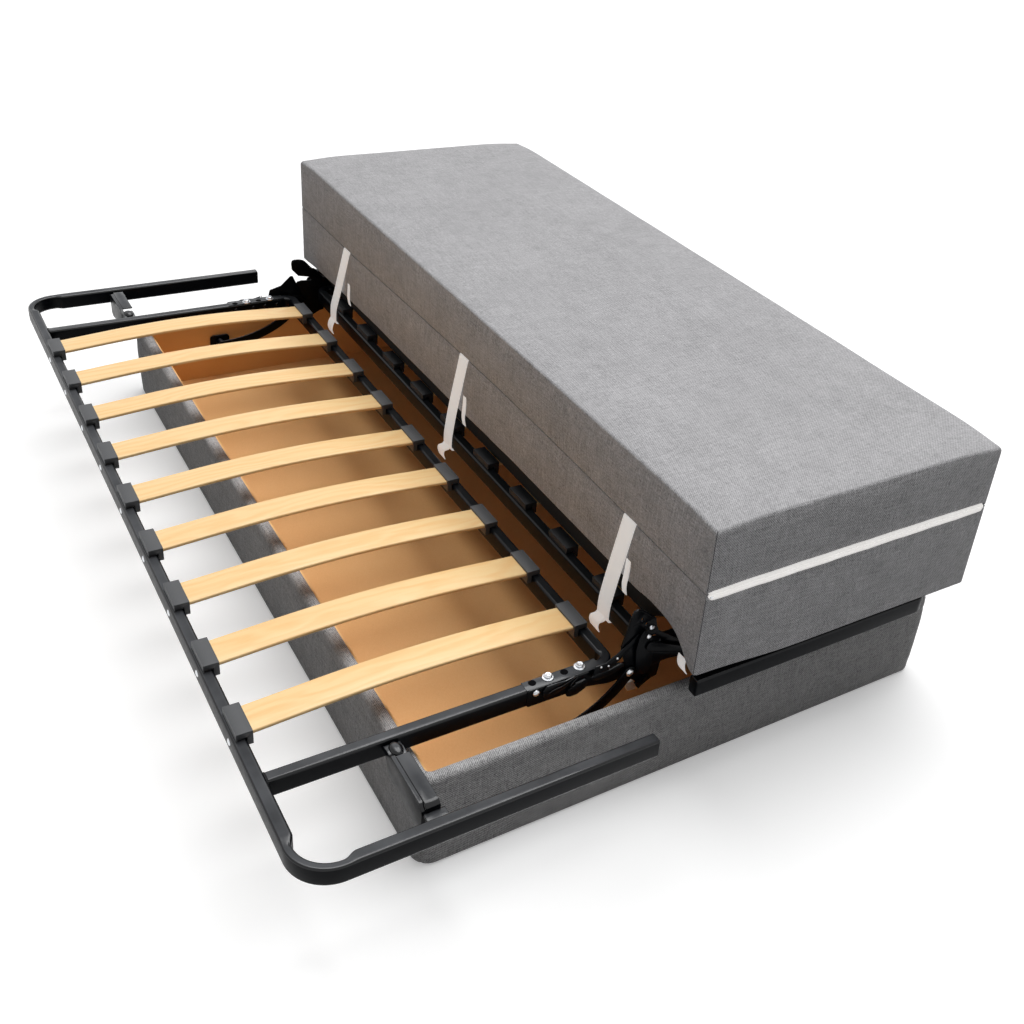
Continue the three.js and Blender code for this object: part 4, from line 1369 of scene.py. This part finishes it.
def zincBits(v):
    # bolts and rivet heads, by the body that they ride on
    front, rear = v["frontFace"], v["rearFace"]
    pinFace = front + 3.8 if v["far"] else v["armFace"] + 2.8
    pins = [domedRivet(size, 1.6, "x", (pinFace, y, z))
            for y, z, size in ((-76, 265, 2.4), (-60, 262, 2.2), (-42, 273, 2.6))]
    heads = [boltHead(v["boltHead"], (v["boltX"], y, v["boltLevel"])) for y in v["bolts"]]
    rears = [domedRivet(size, 2.4, "x", (rear + v["rearSheet"], y, z))
             for y, z, size in ((31, 317, 6), (68, 248, 6.5))]
    if not v["far"]:
        rears.append(domedRivet(5, 2.2, "x", (v["leafFace"] + v["leafSheet"], *v["posts"]["near"])))
    return {
        "front_section": [*heads, domedRivet(7, 3, "x", (front + 1.6, -204, 246)), *pins],
        "base": [domedRivet(8, 3.6, "x", (v["armFace"] + v["armSheet"], *v["pivot"]))],
        "rear_section": rears,
    }


def boltHoles(v):
    # thin near-black discs over the holes, painted shade for their dark insides
    rim = [(v["hole"], 0), (v["hole"], 0.5), (0.4, 0.5)]
    return joined(*[turned(rim, "z", (v["boltX"], y, v["holeLevel"])) for y in v["holes"]])


hingeParts = (
    ("hingeFrontPlate", frontPlate, "front_section", "front_hinge_plate", 0.7),
    ("hingeArm", supportArm, "base", "support_arm", 0.8),
    ("hingeLink", swingLink, "swing_links", "swing_link", 0.8),
    ("hingeRearPlate", rearPlate, "rear_section", "rear_hinge_plate", 0.7),
)


def fitHinge(v, ending):
    def handed(shape):
        return mirrored(shape) if v["far"] else shape

    for name, build, body, node, bevel in hingeParts:
        addPiece(f"{name}_{ending}", handed(build(v)), steel, body, [f"{node}_{ending}"],
                 bevel=bevel)
    for body, bits in zincBits(v).items():
        addPiece(f"hingeZinc_{body}_{ending}", handed(joined(*bits)), zinc, body, sharp=40)
    addPiece(f"boltHoles_{ending}", handed(boltHoles(v)), holeShade, "front_section", sharp=40)
    guide = pressed("guide", v["rearFace"] - 4, 5)
    addPiece(f"paleGuide_{ending}", handed(guide), paleGuide, "rear_section", bevel=0.8)


fitHinge({**hingeValues, "far": False}, "right")
fitHinge({**hingeValues, "far": True}, "left")
print("hinges fitted")


# Floor and light

stageValues = {
    "size": 30,
    "floor": (0.84, 0.84, 0.84), "mottle": 0.985,
    "glow": 0.33,                   # the floor glows a little, so shadows stay soft
    "bounce": (0.36, 0.36, 0.36),
    "sun": 2.75, "sunAngle": 52, "sunTilt": (13, 15),
    "sky": 0.21,
}


def seenMask(p):
    # 1 where a surface is looked at, also in gloss or through glass
    camera, glossy, through = (p.node("ShaderNodeLightPath", output=f"Is {ray} Ray")
                               for ray in ("Camera", "Glossy", "Transmission"))
    return (camera + glossy + through).atMost(1)


def layFloor(v):
    s = v["size"]
    mesh = bpy.data.meshes.new("floor")
    mesh.from_pydata([(-s, -s, 0), (s, -s, 0), (s, s, 0), (-s, s, 0)], [], [(0, 1, 2, 3)])
    floor = addObject("floor", mesh)
    p = newPaint("floorPaper")
    seen = seenMask(p)
    paper = p.mix(p.noise(p.place(), 0.7, 2), v["floor"], [c * v["mottle"] for c in v["floor"]])
    mesh.materials.append(p.finish({
        "Base Color": p.mix(seen, v["bounce"], paper),
        "Roughness": 1.0,
        "Specular IOR Level": 0.0,
        "Emission Color": p.mix(seen, (0, 0, 0), [v["glow"]] * 3),
        "Emission Strength": 1.0,
    }))


def lightWorld(v):
    world = bpy.data.worlds.new("studio")
    bpy.context.scene.world = world
    p = Paint(world)
    plain, bright = (p.node("ShaderNodeBackground", None, {"Color": (1, 1, 1), "Strength": strength})
                     for strength in (v["sky"], 1))
    both = p.node("ShaderNodeMixShader", None, {0: seenMask(p), 1: plain, 2: bright})
    p.node("ShaderNodeOutputWorld", None, {0: both})


def hangSun(v):
    data = bpy.data.lights.new("key", "SUN")
    data.energy = v["sun"]
    data.angle = math.radians(v["sunAngle"])
    key = addObject("key", data)
    aside, away = (math.radians(a) for a in v["sunTilt"])
    toLight = Vector((-math.tan(aside), math.tan(away), 1))
    key.rotation_mode = "QUATERNION"
    key.rotation_quaternion = toLight.to_track_quat("Z", "Y")


layFloor(stageValues)
lightWorld(stageValues)
hangSun(stageValues)
bpy.context.scene.view_settings.view_transform = "Standard"
print("stage lit")
